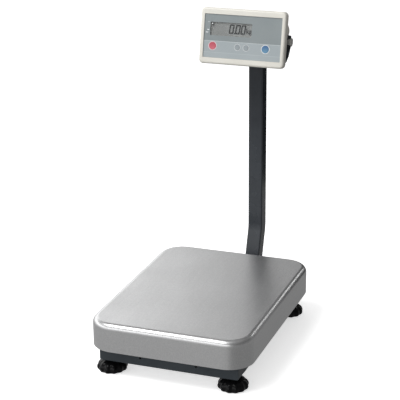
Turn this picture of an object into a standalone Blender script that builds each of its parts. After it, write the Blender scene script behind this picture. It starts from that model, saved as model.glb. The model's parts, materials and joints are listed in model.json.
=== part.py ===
"""Bench scale with a bent mast and a tilting display head.

Metres, +Z up. The user stands at -Y and reads the display, +X is on their right.
The origin is on the floor, at the centre of the whole object's footprint.
"""
import math

import bmesh
import bpy
from mathutils import Matrix, Vector

# ---------------------------------------------------------------- driving dimensions

GAP = 0.0003                 # between pieces that touch

PAN_WIDTH = 0.390
PAN_DEPTH = 0.530
PAN_TOP = 0.132
PAN_SKIRT_BOTTOM = 0.064
PAN_CORNER = 0.060
PAN_EDGE = 0.014
PAN_SHEET = 0.0015

FRAME_HALF_WIDTH = 0.169
FRAME_HALF_DEPTH = 0.243
FRAME_BOTTOM = 0.030
FRAME_TOP = 0.080
FRAME_SHEET = 0.0025
FRAME_FLANGE = 0.018
SIDE_FLANGE_END = 0.200      # side rails' flanges stop short of the feet
FOOT_PLATE_INNER = 0.190
RAIL_HOLE = 0.00275          # radius of the front rail's two holes
RAIL_HOLE_X = 0.068
RAIL_HOLE_Z = 0.0497

FOOT_X = 0.1485
FOOT_Y = 0.2187
FOOT_RADIUS = 0.0364
FOOT_LOBES = 12
FOOT_TOP = 0.0265
FOOT_PROFILE = ((0.0, 0.0300, 0.0020), (0.0030, 0.0345, 0.0040), (0.0080, FOOT_RADIUS, 0.0048),
                (0.0160, 0.0330, 0.0040), (0.0225, 0.0250, 0.0016),
                (FOOT_TOP, 0.0150, 0.0))        # height, radius, depth of the hollows
STUD_RADIUS = 0.005
STUD_TOP = 0.058

MAST_SIZE = 0.038
MAST_WALL = 0.002
MAST_CORNER = 0.004
MAST_SETBACK = 0.416         # mast's axis behind the pan's centre
MAST_BEND_HEIGHT = 0.150
MAST_BEND_RADIUS = 0.080
MAST_LEAN = math.radians(19.0)
MAST_FOOT = 0.037
MAST_TOP_RISE = -0.010       # mast's top above the tilt axis
MAST_BOLT_LOWER = 0.0440
MAST_BOLT_UPPER = 0.0590
HEAD_BLOCK_HALF = 0.0225
GUSSET_WIDTH = 0.040
GUSSET_HALF = 0.0120

PIVOT_SETBACK = 0.332        # display's tilt axis behind the pan's centre
PIVOT_HEIGHT = 0.674
PIVOT_DEPTH = 0.045          # tilt axis behind the overlay's face, in the head
PIVOT_RISE = -0.004          # tilt axis below the overlay's centre, in the head
DISPLAY_TILT = math.radians(11.7)

HOUSING_WIDTH = 0.220
HOUSING_HEIGHT = 0.139
OVERLAY_WIDTH = 0.200
OVERLAY_HEIGHT = 0.107
OVERLAY_SHEET = 0.0006
KEY_ROW = -0.0245            # keys' middles above the overlay's centre
KEY_TRAVEL = 0.0006
WINDOW = (-0.0307, 0.0178, 0.1075, 0.0330)      # middle x, middle z, width, height
KEYS = (("red_key", -0.0761, 0.0093), ("left_grey_key", -0.0114, 0.0072),
        ("right_grey_key", 0.0111, 0.0072), ("blue_key", 0.0610, 0.0093))    # name, x, radius

FRONT_RIM = -0.0020          # front shell: rim, wall behind the overlay, back edge, as depths
FRONT_WALL = 0.0009
FRONT_WALL_BACK = 0.0034
FRONT_BACK = 0.0165
SHELL = 0.0025
REAR_HALF = 0.0985
FRONT_ROUND = 0.0055         # radius of the front shell's front edge
HOUSING_CORNER = 0.0105
DRUM_RADIUS = 0.0265         # rear shell's hollow for the bracket, about the tilt axis
DRUM_ARC = (math.radians(-66), math.radians(33))
REAR_FLOOR = [(-0.0260, -0.0580), (0.0010, -0.0482), (0.0080, -0.0450), (0.0110, -0.0415)]
REAR_CROWN = [(0.0290, 0.0240), (0.0280, 0.0305), (0.0230, 0.0355), (0.0140, 0.0410),
              (0.0040, 0.0458), (-0.0260, 0.0660)]      # (y, z) from the tilt axis
SOCKET_X = 0.030
JACK_RADIUS = 0.0055
GLAND_RADIUS = 0.0070
SOCKET_PLACE = (0.0330, -0.0569)                # depth and z of the sockets, on the lower slope
SOCKET_AXIS = (0, 0.341, -0.940)

ARM_INNER = 0.1003
ARM_OUTER = 0.1033
YOKE_ANGLE = math.radians(-40)                  # from the tilt axis back and down to the yoke's plate
YOKE_INNER = 0.0310          # plate's two faces from the tilt axis
YOKE_OUTER = 0.0340
YOKE_HALF = 0.0130
ARM_OUTLINE = [(0.0344, -0.0119), (0.0330, 0.0020), (0.0305, 0.0110), (0.0265, 0.0160),
               (0.0215, 0.0187), (0.0150, 0.0195), (0.0080, 0.0185), (0.0010, 0.0155),
               (-0.0055, 0.0105), (-0.0090, 0.0050), (-0.0100, -0.0020), (-0.0100, -0.0300),
               (-0.0085, -0.0375), (-0.0040, -0.0410), (0.0020, -0.0405), (0.0080, -0.0380),
               (0.0176, -0.0319)]              # (y, z) from the tilt axis
KNOB_GRIP = 0.0066
KNOB_END = 0.1150

CELL_LENGTH = 0.150
CELL_WIDTH = 0.040
CELL_BOTTOM = 0.0545
CELL_TOP = 0.0922
CELL_BORE = 0.0125
FIXED_END = 0.055            # load cell's bolts, behind and before its middle
SPACER = 0.006
CROSS_BEAM_SHEET = 0.004
LOAD_PLATE = 0.007
LOAD_BEAM_TOP = 0.126
LOAD_BEAM_SHEET = 0.0025
LOAD_BEAM_X = 0.110
LOAD_BEAM_HALF = 0.015
LOAD_BEAM_END = 0.235
PAN_PAD_Y = 0.215
STOP_Y = 0.204
STOP_CLEARANCE = 0.0015

BRACKET_FLOOR_LOW = 0.0265
BRACKET_FLOOR_HIGH = 0.0295
BRACKET_SHEET = 0.003
BRACKET_CHEEKS = ((0.2465, 0.0560), (0.3300, 0.0560), (0.3520, 0.0680), (0.4000, 0.0680),
                  (0.4080, 0.0600))            # y behind the pan's centre, cheeks' top
BRACKET_TONGUE_Y = 0.205
BRACKET_BOLT_Y = 0.234
LEVEL_Y = 0.294
BOLT_PAIR = 0.011            # bolts in pairs stand this far either side of X = 0
M5, M6, M8 = 0.0025, 0.003, 0.004               # shank radii

# The footprint's front is the pan's, its back is the head block's.
PLATFORM_Y = (PAN_DEPTH / 2 - (MAST_SETBACK + HEAD_BLOCK_HALF)) / 2
MAST_Y = PLATFORM_Y + MAST_SETBACK
PIVOT_Y = PLATFORM_Y + PIVOT_SETBACK
PLATE_LOW = FRAME_BOTTOM + FRAME_SHEET + GAP
PLATE_TOP = PLATE_LOW + 0.004
INNER_HALF = FRAME_HALF_WIDTH - FRAME_SHEET - GAP
BEAM_TOP = CELL_BOTTOM - 2 * GAP - SPACER
LOAD_PLATE_LOW = CELL_TOP + 2 * GAP + SPACER
LOAD_PLATE_HIGH = LOAD_PLATE_LOW + LOAD_PLATE
LOAD_BEAM_LOW = LOAD_PLATE_HIGH + GAP


# ---------------------------------------------------------------- materials

def material(name, colour, roughness, metallic=0.0):
    made = bpy.data.materials.new(name)
    made.use_nodes = True
    shader = made.node_tree.nodes["Principled BSDF"]
    shader.inputs["Base Color"].default_value = (*colour, 1.0)
    shader.inputs["Roughness"].default_value = roughness
    shader.inputs["Metallic"].default_value = metallic
    return made


# ---------------------------------------------------------------- shape helpers

def finish(name, bm, look, parent=None, smooth=None):
    """Turn a bmesh into a named object with one material."""
    bmesh.ops.recalc_face_normals(bm, faces=bm.faces[:])
    mesh = bpy.data.meshes.new(name)
    bm.to_mesh(mesh)
    bm.free()
    if smooth is not None:
        mesh.shade_smooth()
        mesh.set_sharp_from_angle(angle=math.radians(smooth))
    piece = bpy.data.objects.new(name, mesh)
    bpy.context.scene.collection.objects.link(piece)
    piece.parent = parent
    mesh.materials.append(look)
    return piece


def empty(name, location, tilt=0.0, parent=None):
    holder = bpy.data.objects.new(name, None)
    bpy.context.scene.collection.objects.link(holder)
    holder.location = location
    holder.rotation_euler.x = tilt
    holder.parent = parent
    return holder


def loft(rings, closed=False):
    """Skin rings of equally many points; capped at both ends unless closed into a loop."""
    bm = bmesh.new()
    rows = [[bm.verts.new(point) for point in ring] for ring in rings]
    count = len(rows[0])
    pairs = list(zip(rows, rows[1:]))
    if closed:
        pairs.append((rows[-1], rows[0]))
    else:
        bm.faces.new(rows[0])
        bm.faces.new(rows[-1])
    for low, high in pairs:
        for i in range(count):
            j = (i + 1) % count
            bm.faces.new((low[i], low[j], high[j], high[i]))
    return bm


def rounded_rectangle(half_u, half_v, radius, steps=4):
    """Points of a rectangle with round corners, anticlockwise in (u, v)."""
    points = []
    centres = ((1, 1), (-1, 1), (-1, -1), (1, -1))
    for quarter, (su, sv) in enumerate(centres):
        for step in range(steps + 1):
            angle = math.radians(90) * (quarter + step / steps)
            points.append((su * (half_u - radius) + radius * math.cos(angle),
                           sv * (half_v - radius) + radius * math.sin(angle)))
    return points


def circle(radius, count):
    turn = 2 * math.pi / count
    return [(radius * math.cos(i * turn), radius * math.sin(i * turn)) for i in range(count)]


def hexagon(radius, count=12):
    """A hexagon with a point at each corner and one at the middle of each side."""
    flat = radius * math.cos(math.radians(30))
    turn = 2 * math.pi / count
    return [((radius if i % 2 == 0 else flat) * math.cos(i * turn),
             (radius if i % 2 == 0 else flat) * math.sin(i * turn)) for i in range(count)]


def turned(outlines):
    """Loft flat outlines stacked along Z; each entry is (height, points)."""
    return loft([[(u, v, height) for u, v in points] for height, points in outlines])


def along(direction, place):
    """Matrix that stands a +Z piece along a direction at a place."""
    turn = Vector(direction).to_track_quat("Z", "Y").to_matrix().to_4x4()
    return Matrix.Translation(Vector(place)) @ turn


def moved(bm, matrix):
    bmesh.ops.transform(bm, matrix=matrix, verts=bm.verts[:])
    return bm


def joined_boxes(boxes):
    """One closed skin round axis-aligned boxes, each given as (low corner, high corner)."""
    cuts = []
    for axis in range(3):
        values = {round(corner[axis], 7) for box in boxes for corner in box}
        cuts.append(sorted(values))

    def filled(cell):
        if any(index < 0 or index >= len(cuts[axis]) - 1 for axis, index in enumerate(cell)):
            return False
        middle = [(cuts[axis][index] + cuts[axis][index + 1]) / 2 for axis, index in enumerate(cell)]
        return any(all(low[a] < middle[a] < high[a] for a in range(3)) for low, high in boxes)

    bm = bmesh.new()
    corners = {}

    def vertex(key):
        if key not in corners:
            corners[key] = bm.verts.new([cuts[axis][key[axis]] for axis in range(3)])
        return corners[key]

    cells = [(i, j, k) for i in range(len(cuts[0]) - 1) for j in range(len(cuts[1]) - 1)
             for k in range(len(cuts[2]) - 1) if filled((i, j, k))]
    for cell in cells:
        for axis in range(3):
            for side in (0, 1):
                neighbour = list(cell)
                neighbour[axis] += 1 if side else -1
                if filled(tuple(neighbour)):
                    continue
                first, second = [a for a in range(3) if a != axis]
                square = []
                for du, dv in ((0, 0), (1, 0), (1, 1), (0, 1)):
                    key = list(cell)
                    key[axis] += side
                    key[first] += du
                    key[second] += dv
                    square.append(vertex(tuple(key)))
                bm.faces.new(square)
    bmesh.ops.recalc_face_normals(bm, faces=bm.faces[:])
    bmesh.ops.dissolve_limit(bm, angle_limit=0.01, verts=bm.verts[:], edges=bm.edges[:])
    return bm


def combine(piece, other, operation):
    change = piece.modifiers.new(operation.lower(), "BOOLEAN")
    change.operation = operation
    change.solver = "EXACT"
    change.object = other
    other.hide_render = True
    other.display_type = "WIRE"


def drill(piece, matrix, radius, depth, count=16, parent=None):
    """Cut a round hole of the given depth, centred on the matrix's place."""
    hole = turned([(-depth / 2, circle(radius, count)), (depth / 2, circle(radius, count))])
    cutter = finish(piece.name + "_hole", moved(hole, matrix), piece.data.materials[0], parent)
    combine(piece, cutter, "DIFFERENCE")


def bolt(name, matrix, shank, length, head, head_height, look, parent=None):
    """Hexagon-headed bolt: the shank runs to +Z from the head's underside at z = 0."""
    chamfer = 0.0008
    outlines = [(-head_height, hexagon(head - chamfer)),
                (-head_height + chamfer, hexagon(head)),
                (0.0, hexagon(head)),
                (0.0, circle(shank, 12)),
                (length - chamfer, circle(shank, 12)),
                (length, circle(shank - chamfer, 12))]
    return finish(name, moved(turned(outlines), matrix), look, parent, smooth=40)


# ---------------------------------------------------------------- weighing pan

def make_pan(steel):
    """Pressed sheet cover: flat top, rounded edge, straight skirt, open below."""
    def ring(inset, height, radius_inset):
        points = rounded_rectangle(PAN_WIDTH / 2 - inset, PAN_DEPTH / 2 - inset,
                                   PAN_CORNER - radius_inset, 6)
        return [(x, y + PLATFORM_Y, height) for x, y in points]

    rings = []
    for step in range(5):
        angle = math.radians(90) * step / 4
        inset = PAN_EDGE * (1 - math.sin(angle))
        rings.append(ring(inset, PAN_TOP - PAN_EDGE * (1 - math.cos(angle)), inset))
    rings.append(ring(0.0, PAN_SKIRT_BOTTOM, 0.0))
    rings.append(ring(PAN_SHEET, PAN_SKIRT_BOTTOM, PAN_SHEET))
    inner = PAN_EDGE - PAN_SHEET
    for step in range(3, -1, -1):
        angle = math.radians(90) * step / 3
        inset = PAN_SHEET + inner * (1 - math.sin(angle))
        height = PAN_TOP - PAN_SHEET - inner * (1 - math.cos(angle))
        rings.append(ring(inset, height, inset))
    finish("pan", loft(rings), steel, smooth=35)


# ---------------------------------------------------------------- base frame

def box(name, low, high, look, parent=None):
    return finish(name, joined_boxes([(low, high)]), look, parent)


def end_rail(name, side, paint):
    """Channel across the front (side -1) or the rear (side +1), open towards the middle."""
    outer = side * FRAME_HALF_DEPTH
    web = sorted((PLATFORM_Y + outer, PLATFORM_Y + outer - side * FRAME_SHEET))
    flange = sorted((PLATFORM_Y + outer, PLATFORM_Y + outer - side * FRAME_FLANGE))
    boxes = [((-FRAME_HALF_WIDTH, web[0], FRAME_BOTTOM), (FRAME_HALF_WIDTH, web[1], FRAME_TOP))]
    for low in (FRAME_BOTTOM, FRAME_TOP - FRAME_SHEET):
        boxes.append(((-INNER_HALF, flange[0], low), (INNER_HALF, flange[1], low + FRAME_SHEET)))
    return finish(name, joined_boxes(boxes), paint)


def side_rail(name, side, paint):
    outer = side * FRAME_HALF_WIDTH
    web = sorted((outer, outer - side * FRAME_SHEET))
    flange = sorted((outer, outer - side * FRAME_FLANGE))
    web_end = FRAME_HALF_DEPTH - FRAME_SHEET - GAP
    boxes = [((web[0], PLATFORM_Y - web_end, FRAME_BOTTOM), (web[1], PLATFORM_Y + web_end, FRAME_TOP))]
    for low in (FRAME_BOTTOM, FRAME_TOP - FRAME_SHEET):
        boxes.append(((flange[0], PLATFORM_Y - SIDE_FLANGE_END, low),
                      (flange[1], PLATFORM_Y + SIDE_FLANGE_END, low + FRAME_SHEET)))
    return finish(name, joined_boxes(boxes), paint)


def make_frame(paint):
    front = end_rail("front_rail", -1, paint)
    rear = end_rail("rear_rail", 1, paint)
    side_rail("left_rail", -1, paint)
    side_rail("right_rail", 1, paint)
    for x in (-RAIL_HOLE_X, RAIL_HOLE_X):
        place = (x, PLATFORM_Y - FRAME_HALF_DEPTH, RAIL_HOLE_Z)
        drill(front, along((0, 1, 0), place), RAIL_HOLE, 0.02, 12)

    for name, side in (("front_foot_plate", -1), ("rear_foot_plate", 1)):
        reach = sorted((side * (FRAME_HALF_DEPTH - FRAME_SHEET - GAP), side * FOOT_PLATE_INNER))
        plate = box(name, (-INNER_HALF, PLATFORM_Y + reach[0], PLATE_LOW),
                    (INNER_HALF, PLATFORM_Y + reach[1], PLATE_TOP), paint)
        for x in (-FOOT_X, FOOT_X):
            place = (x, PLATFORM_Y + side * FOOT_Y, PLATE_LOW)
            drill(plate, along((0, 0, 1), place), STUD_RADIUS + GAP, 0.02)
    return rear


def at_corners(x, y):
    """Name ending and (x, y) of each corner of a rectangle about the pan's centre."""
    for y_name, y_side in (("front", -1), ("rear", 1)):
        for x_name, x_side in (("left", -1), ("right", 1)):
            yield "_" + y_name + "_" + x_name, (x_side * x, PLATFORM_Y + y_side * y)


def make_overload_stops(zinc):
    """Pillars that catch the load frame just before the load cell is overloaded."""
    nut, nut_height, pillar = 0.0085, 0.008, 0.005
    low = PLATE_TOP + GAP
    top = LOAD_BEAM_TOP - LOAD_BEAM_SHEET - STOP_CLEARANCE
    outlines = [(low, hexagon(nut)), (low + nut_height, hexagon(nut)),
                (low + nut_height, circle(pillar, 12)), (top, circle(pillar, 12))]
    for ending, (x, y) in at_corners(LOAD_BEAM_X, STOP_Y):
        stop = moved(turned(outlines), Matrix.Translation((x, y, 0)))
        finish("overload_stop" + ending, stop, zinc, smooth=40)


# ---------------------------------------------------------------- levelling feet

def lobed(radius, depth):
    """Outline of a foot knob: a circle with hollows of the given depth between its lobes."""
    count = FOOT_LOBES * 4
    points = []
    for i in range(count):
        angle = 2 * math.pi * i / count
        reach = radius - depth * (1 - math.cos(angle * FOOT_LOBES)) / 2
        points.append((reach * math.cos(angle), reach * math.sin(angle)))
    return points


def make_feet(plastic, zinc):
    """Lobed knobs that screw up and down under the frame's corners."""
    knob = [(height, lobed(radius, depth)) for height, radius, depth in FOOT_PROFILE]
    stud = [(FOOT_TOP + GAP, circle(STUD_RADIUS, 14)), (STUD_TOP - 0.001, circle(STUD_RADIUS, 14)),
            (STUD_TOP, circle(STUD_RADIUS - 0.001, 14))]
    for ending, (x, y) in at_corners(FOOT_X, FOOT_Y):
        holder = empty("foot_axis" + ending, (x, y, 0))
        finish("foot_knob" + ending, turned(knob), plastic, holder, smooth=50)
        finish("foot_stud" + ending, turned(stud), zinc, holder, smooth=40)


# ---------------------------------------------------------------- load cell and load frame

def make_load_cell(alloy, paint, zinc):
    """Single-point cell, fixed to the cross beam behind and carrying the load plate in front."""
    y = PLATFORM_Y
    half = CELL_WIDTH / 2
    cell = box("load_cell", (-half, y - CELL_LENGTH / 2, CELL_BOTTOM),
               (half, y + CELL_LENGTH / 2, CELL_TOP), alloy)
    middle = (CELL_BOTTOM + CELL_TOP) / 2
    waist = box("load_cell_waist", (-CELL_WIDTH, y - 0.014, middle - 0.006),
                (CELL_WIDTH, y + 0.014, middle + 0.006), alloy)
    combine(cell, waist, "DIFFERENCE")
    for offset in (-0.016, 0.016):
        drill(cell, along((1, 0, 0), (0, y + offset, middle)), CELL_BORE, 0.06, 20)

    reach = 0.018
    top = box("load_cell_top_spacer", (-half, y - FIXED_END - reach, CELL_TOP + GAP),
              (half, y - FIXED_END + reach, CELL_TOP + GAP + SPACER), zinc)
    low = box("load_cell_bottom_spacer", (-half, y + FIXED_END - reach, BEAM_TOP + GAP),
              (half, y + FIXED_END + reach, BEAM_TOP + GAP + SPACER), zinc)

    sheet = CROSS_BEAM_SHEET
    y_low, y_high = y + FIXED_END - 0.022, y + FIXED_END + 0.022
    beam = finish("cross_beam", joined_boxes([
        ((-INNER_HALF, y_low, BEAM_TOP - sheet), (INNER_HALF, y_high, BEAM_TOP)),
        ((-INNER_HALF, y_low, PLATE_LOW), (INNER_HALF, y_low + sheet, BEAM_TOP)),
        ((-INNER_HALF, y_high - sheet, PLATE_LOW), (INNER_HALF, y_high, BEAM_TOP))]), paint)

    wide = LOAD_BEAM_X + LOAD_BEAM_HALF
    plate = box("load_plate", (-wide, y - CELL_LENGTH / 2, LOAD_PLATE_LOW),
                (wide, y + 0.060, LOAD_PLATE_HIGH), paint)

    for ending, x in (("_left", -BOLT_PAIR), ("_right", BOLT_PAIR)):
        upper = along((0, 0, -1), (x, y - FIXED_END, LOAD_PLATE_HIGH + GAP))
        lower = along((0, 0, 1), (x, y + FIXED_END, BEAM_TOP - sheet - GAP))
        bolt("load_cell_top_bolt" + ending, upper, M8, 0.030, 0.0072, 0.005, zinc)
        bolt("load_cell_bottom_bolt" + ending, lower, M8, 0.027, 0.0072, 0.005, zinc)
        for piece in (plate, top, cell):
            drill(piece, upper, M8 + GAP, 0.062, 12)
        for piece in (beam, low, cell):
            drill(piece, lower, M8 + GAP, 0.056, 12)


def make_load_frame(paint, rubber):
    """Inverted channels along both sides of the load plate, with a pad at each end."""
    sheet = LOAD_BEAM_SHEET
    y_low, y_high = PLATFORM_Y - LOAD_BEAM_END, PLATFORM_Y + LOAD_BEAM_END
    for name, side in (("left", -1), ("right", 1)):
        x_low = side * LOAD_BEAM_X - LOAD_BEAM_HALF
        x_high = side * LOAD_BEAM_X + LOAD_BEAM_HALF
        finish("load_beam_" + name, joined_boxes([
            ((x_low, y_low, LOAD_BEAM_TOP - sheet), (x_high, y_high, LOAD_BEAM_TOP)),
            ((x_low, y_low, LOAD_BEAM_LOW), (x_low + sheet, y_high, LOAD_BEAM_TOP)),
            ((x_high - sheet, y_low, LOAD_BEAM_LOW), (x_high, y_high, LOAD_BEAM_TOP))]), paint)

    low = LOAD_BEAM_TOP + GAP
    high = PAN_TOP - PAN_SHEET - GAP
    pad = [(low, circle(0.0115, 16)), (high - 0.001, circle(0.0105, 16)), (high, circle(0.0095, 16))]
    for ending, (x, y) in at_corners(LOAD_BEAM_X, PAN_PAD_Y):
        finish("pan_pad" + ending, moved(turned(pad), Matrix.Translation((x, y, 0))), rubber, smooth=40)


# ---------------------------------------------------------------- mast and its bracket

def channel(stations):
    """Open channel along Y; stations are (y, height of the cheeks' tops), then the tongue's end."""
    inner = MAST_SIZE / 2 + GAP
    outer = inner + BRACKET_SHEET
    low, floor = BRACKET_FLOOR_LOW, BRACKET_FLOOR_HIGH
    bm = bmesh.new()
    rows = []
    for y, top in stations:
        section = ((-outer, low), (-outer, top), (-inner, top), (-inner, floor),
                   (inner, floor), (inner, top), (outer, top), (outer, low))
        rows.append([bm.verts.new((x, y, z)) for x, z in section])
    for first, second in zip(rows, rows[1:]):
        for i in range(8):
            j = (i + 1) % 8
            bm.faces.new((first[i], first[j], second[j], second[i]))
    for row in (rows[0], rows[-1]):
        bm.faces.new((row[0], row[1], row[2], row[3]))
        bm.faces.new((row[4], row[5], row[6], row[7]))
    last = rows[-1]
    bm.faces.new((last[0], last[3], last[4], last[7]))
    start = [rows[0][i] for i in (0, 3, 4, 7)]
    end = [bm.verts.new((v.co.x, PLATFORM_Y + BRACKET_TONGUE_Y, v.co.z)) for v in start]
    for i in range(4):
        j = (i + 1) % 4
        bm.faces.new((start[i], start[j], end[j], end[i]))
    bm.faces.new(end)
    return bm


def make_mast_bracket(rear_rail, paint, zinc):
    """Folded channel bolted under the rear rail; its tall cheeks hold the mast's foot."""
    stations = [(PLATFORM_Y + y, top) for y, top in BRACKET_CHEEKS]
    bracket = finish("mast_bracket", channel(stations), paint)
    for ending, x in (("_left", -BOLT_PAIR), ("_right", BOLT_PAIR)):
        place = along((0, 0, 1), (x, PLATFORM_Y + BRACKET_BOLT_Y, BRACKET_FLOOR_LOW - GAP))
        bolt("bracket_bolt" + ending, place, M6, 0.0060, 0.0058, 0.004, zinc)
        for piece in (bracket, rear_rail):
            drill(piece, place, M6 + GAP, 0.014, 12)
    return bracket


def make_level(plastic, glass):
    """Round spirit level: a vial of liquid in a cup on the bracket's floor."""
    floor = BRACKET_FLOOR_HIGH
    place = Matrix.Translation((0, PLATFORM_Y + LEVEL_Y, 0))
    cup, bore, vial = 0.0140, 0.0098, 0.0094
    outlines = [(floor + GAP, circle(cup, 20)), (floor + 0.012, circle(cup, 20)),
                (floor + 0.013, circle(cup - 0.001, 20)), (floor + 0.013, circle(bore, 20)),
                (floor + 0.004, circle(bore, 20))]
    finish("level_holder", moved(turned(outlines), place), plastic, smooth=40)
    outlines = [(floor + 0.004 + GAP, circle(vial, 20)), (floor + 0.0115, circle(vial, 20)),
                (floor + 0.0125, circle(vial - 0.0014, 20))]
    finish("level_vial", moved(turned(outlines), place), glass, smooth=40)


def mast_path():
    """Centre line of the mast as (place, direction), from its foot to its top."""
    lean = Vector((0, math.sin(MAST_LEAN), math.cos(MAST_LEAN)))
    bend = Vector((0, MAST_Y, MAST_BEND_HEIGHT))
    run = (MAST_BEND_HEIGHT - MAST_FOOT) / math.cos(MAST_LEAN)
    path = [(bend - lean * run, MAST_LEAN)]
    tangent = MAST_BEND_RADIUS * math.tan(MAST_LEAN / 2)
    centre = bend + Vector((0, -MAST_BEND_RADIUS, tangent))
    steps = 5
    for step in range(steps + 1):
        angle = MAST_LEAN * (1 - step / steps)
        place = centre + MAST_BEND_RADIUS * Vector((0, math.cos(angle), -math.sin(angle)))
        path.append((place, angle))
    path.append((Vector((0, MAST_Y, PIVOT_HEIGHT + MAST_TOP_RISE)), 0.0))
    return path


def mast_rings(half, corner):
    rings = []
    for place, angle in mast_path():
        across = Vector((0, math.cos(angle), -math.sin(angle)))
        rings.append([place + Vector((u, 0, 0)) + across * v
                      for u, v in rounded_rectangle(half, half, corner, 3)])
    return rings


def make_mast(bracket, paint, zinc):
    outer = mast_rings(MAST_SIZE / 2, MAST_CORNER)
    inner = mast_rings(MAST_SIZE / 2 - MAST_WALL, MAST_CORNER - MAST_WALL / 2)
    mast = finish("mast", loft(outer + inner[::-1], closed=True), paint, smooth=25)
    half = MAST_SIZE / 2 + GAP + BRACKET_SHEET + GAP
    for name, height in (("mast_bolt_lower", MAST_BOLT_LOWER), ("mast_bolt_upper", MAST_BOLT_UPPER)):
        y = MAST_Y - (MAST_BEND_HEIGHT - height) * math.tan(MAST_LEAN)
        bolt(name, along((1, 0, 0), (-half, y, height)), M6, 2 * half + 0.005, 0.0058, 0.0040, zinc)
        for piece in (mast, bracket):
            drill(piece, along((1, 0, 0), (0, y, height)), M6 + GAP, 0.08, 12)


# ---------------------------------------------------------------- head block and display bracket

YOKE_OUT = Vector((0, math.cos(YOKE_ANGLE), math.sin(YOKE_ANGLE)))       # from the tilt axis to the plate
YOKE_UP = Vector((0, -math.sin(YOKE_ANGLE), math.cos(YOKE_ANGLE)))       # up along the plate


def from_pivot(x, y, z):
    return Vector((x, PIVOT_Y + y, PIVOT_HEIGHT + z))


def on_yoke(x, out, up):
    """Place on the yoke's slanting plate: distance out from the tilt axis, and up along the plate."""
    return from_pivot(x, 0, 0) + YOKE_OUT * out + YOKE_UP * up


def slab(outline, x_low, x_high):
    """Extrude an outline of (y, z) from the tilt axis between two places on X."""
    return loft([[from_pivot(x, y, z) for y, z in outline] for x in (x_low, x_high)])


def make_head_block(paint):
    """Sleeve over the mast's top with a gusset that reaches forward to the yoke's plate."""
    inner = MAST_SIZE / 2 + GAP
    outer = HEAD_BLOCK_HALF
    low, high = PIVOT_HEIGHT - 0.050, PIVOT_HEIGHT - 0.006
    roof = PIVOT_HEIGHT + MAST_TOP_RISE + GAP
    front = MAST_Y - outer
    block = finish("head_block", joined_boxes([
        ((-outer, front, low), (-inner, MAST_Y + outer, high)),
        ((inner, front, low), (outer, MAST_Y + outer, high)),
        ((-outer, front, low), (outer, MAST_Y - inner, high)),
        ((-outer, MAST_Y + inner, low), (outer, MAST_Y + outer, high)),
        ((-outer, front, roof), (outer, MAST_Y + outer, high))]), paint)
    seat = YOKE_OUTER + GAP
    upper = on_yoke(0, seat, GUSSET_HALF)
    lower = on_yoke(0, seat, -GUSSET_HALF)
    root = front - PIVOT_Y + 0.0015
    outline = [(upper.y - PIVOT_Y, upper.z - PIVOT_HEIGHT), (lower.y - PIVOT_Y, lower.z - PIVOT_HEIGHT),
               (root - 0.018, -0.0450), (root, -0.0450), (root, -0.0105)]
    gusset = finish("head_block_gusset", slab(outline, -GUSSET_WIDTH / 2, GUSSET_WIDTH / 2), paint)
    combine(block, gusset, "UNION")
    return block


def make_display_bracket(block, paint, zinc):
    """Strap folded into a yoke: a slanting plate behind the head and an arm along each side of it."""
    corners = [on_yoke(0, out, up) for out, up in ((YOKE_INNER, -YOKE_HALF), (YOKE_OUTER, -YOKE_HALF),
                                                   (YOKE_OUTER, YOKE_HALF), (YOKE_INNER, YOKE_HALF))]
    outline = [(corner.y - PIVOT_Y, corner.z - PIVOT_HEIGHT) for corner in corners]
    reach = ARM_INNER + 0.001
    yoke = finish("display_bracket", slab(outline, -reach, reach), paint)
    for name, ends in (("left", (-ARM_OUTER, -ARM_INNER)), ("right", (ARM_INNER, ARM_OUTER))):
        arm = finish("display_bracket_arm_" + name, slab(ARM_OUTLINE, *ends), paint)
        combine(yoke, arm, "UNION")
    drill(yoke, along((1, 0, 0), from_pivot(0, 0, 0)), 0.0045, 0.3, 16)

    for ending, x in (("_left", -BOLT_PAIR), ("_right", BOLT_PAIR)):
        place = along(YOKE_OUT, on_yoke(x, YOKE_INNER - GAP, 0))
        bolt("display_bracket_screw" + ending, place, M5, 0.0150, 0.0048, 0.0030, zinc)
        for piece in (yoke, block):
            drill(piece, place, M5 + GAP, 0.0330, 12)


# ---------------------------------------------------------------- display head

def head_point(x, depth, z):
    """Place in the head: depth behind the overlay's face, z above its middle."""
    return (x, depth - PIVOT_DEPTH, z - PIVOT_RISE)


def plate_rings(rows, steps=4):
    """Rounded rectangles facing the user; rows are (half width, half height, corner, depth)."""
    return [[head_point(x, depth, z) for x, z in rounded_rectangle(half_x, half_z, corner, steps)]
            for half_x, half_z, corner, depth in rows]


def window_corners(depth_low, depth_high, margin):
    x, z, width, height = WINDOW
    return (head_point(x - width / 2 - margin, depth_low, z - height / 2 - margin),
            head_point(x + width / 2 + margin, depth_high, z + height / 2 + margin))


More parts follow.
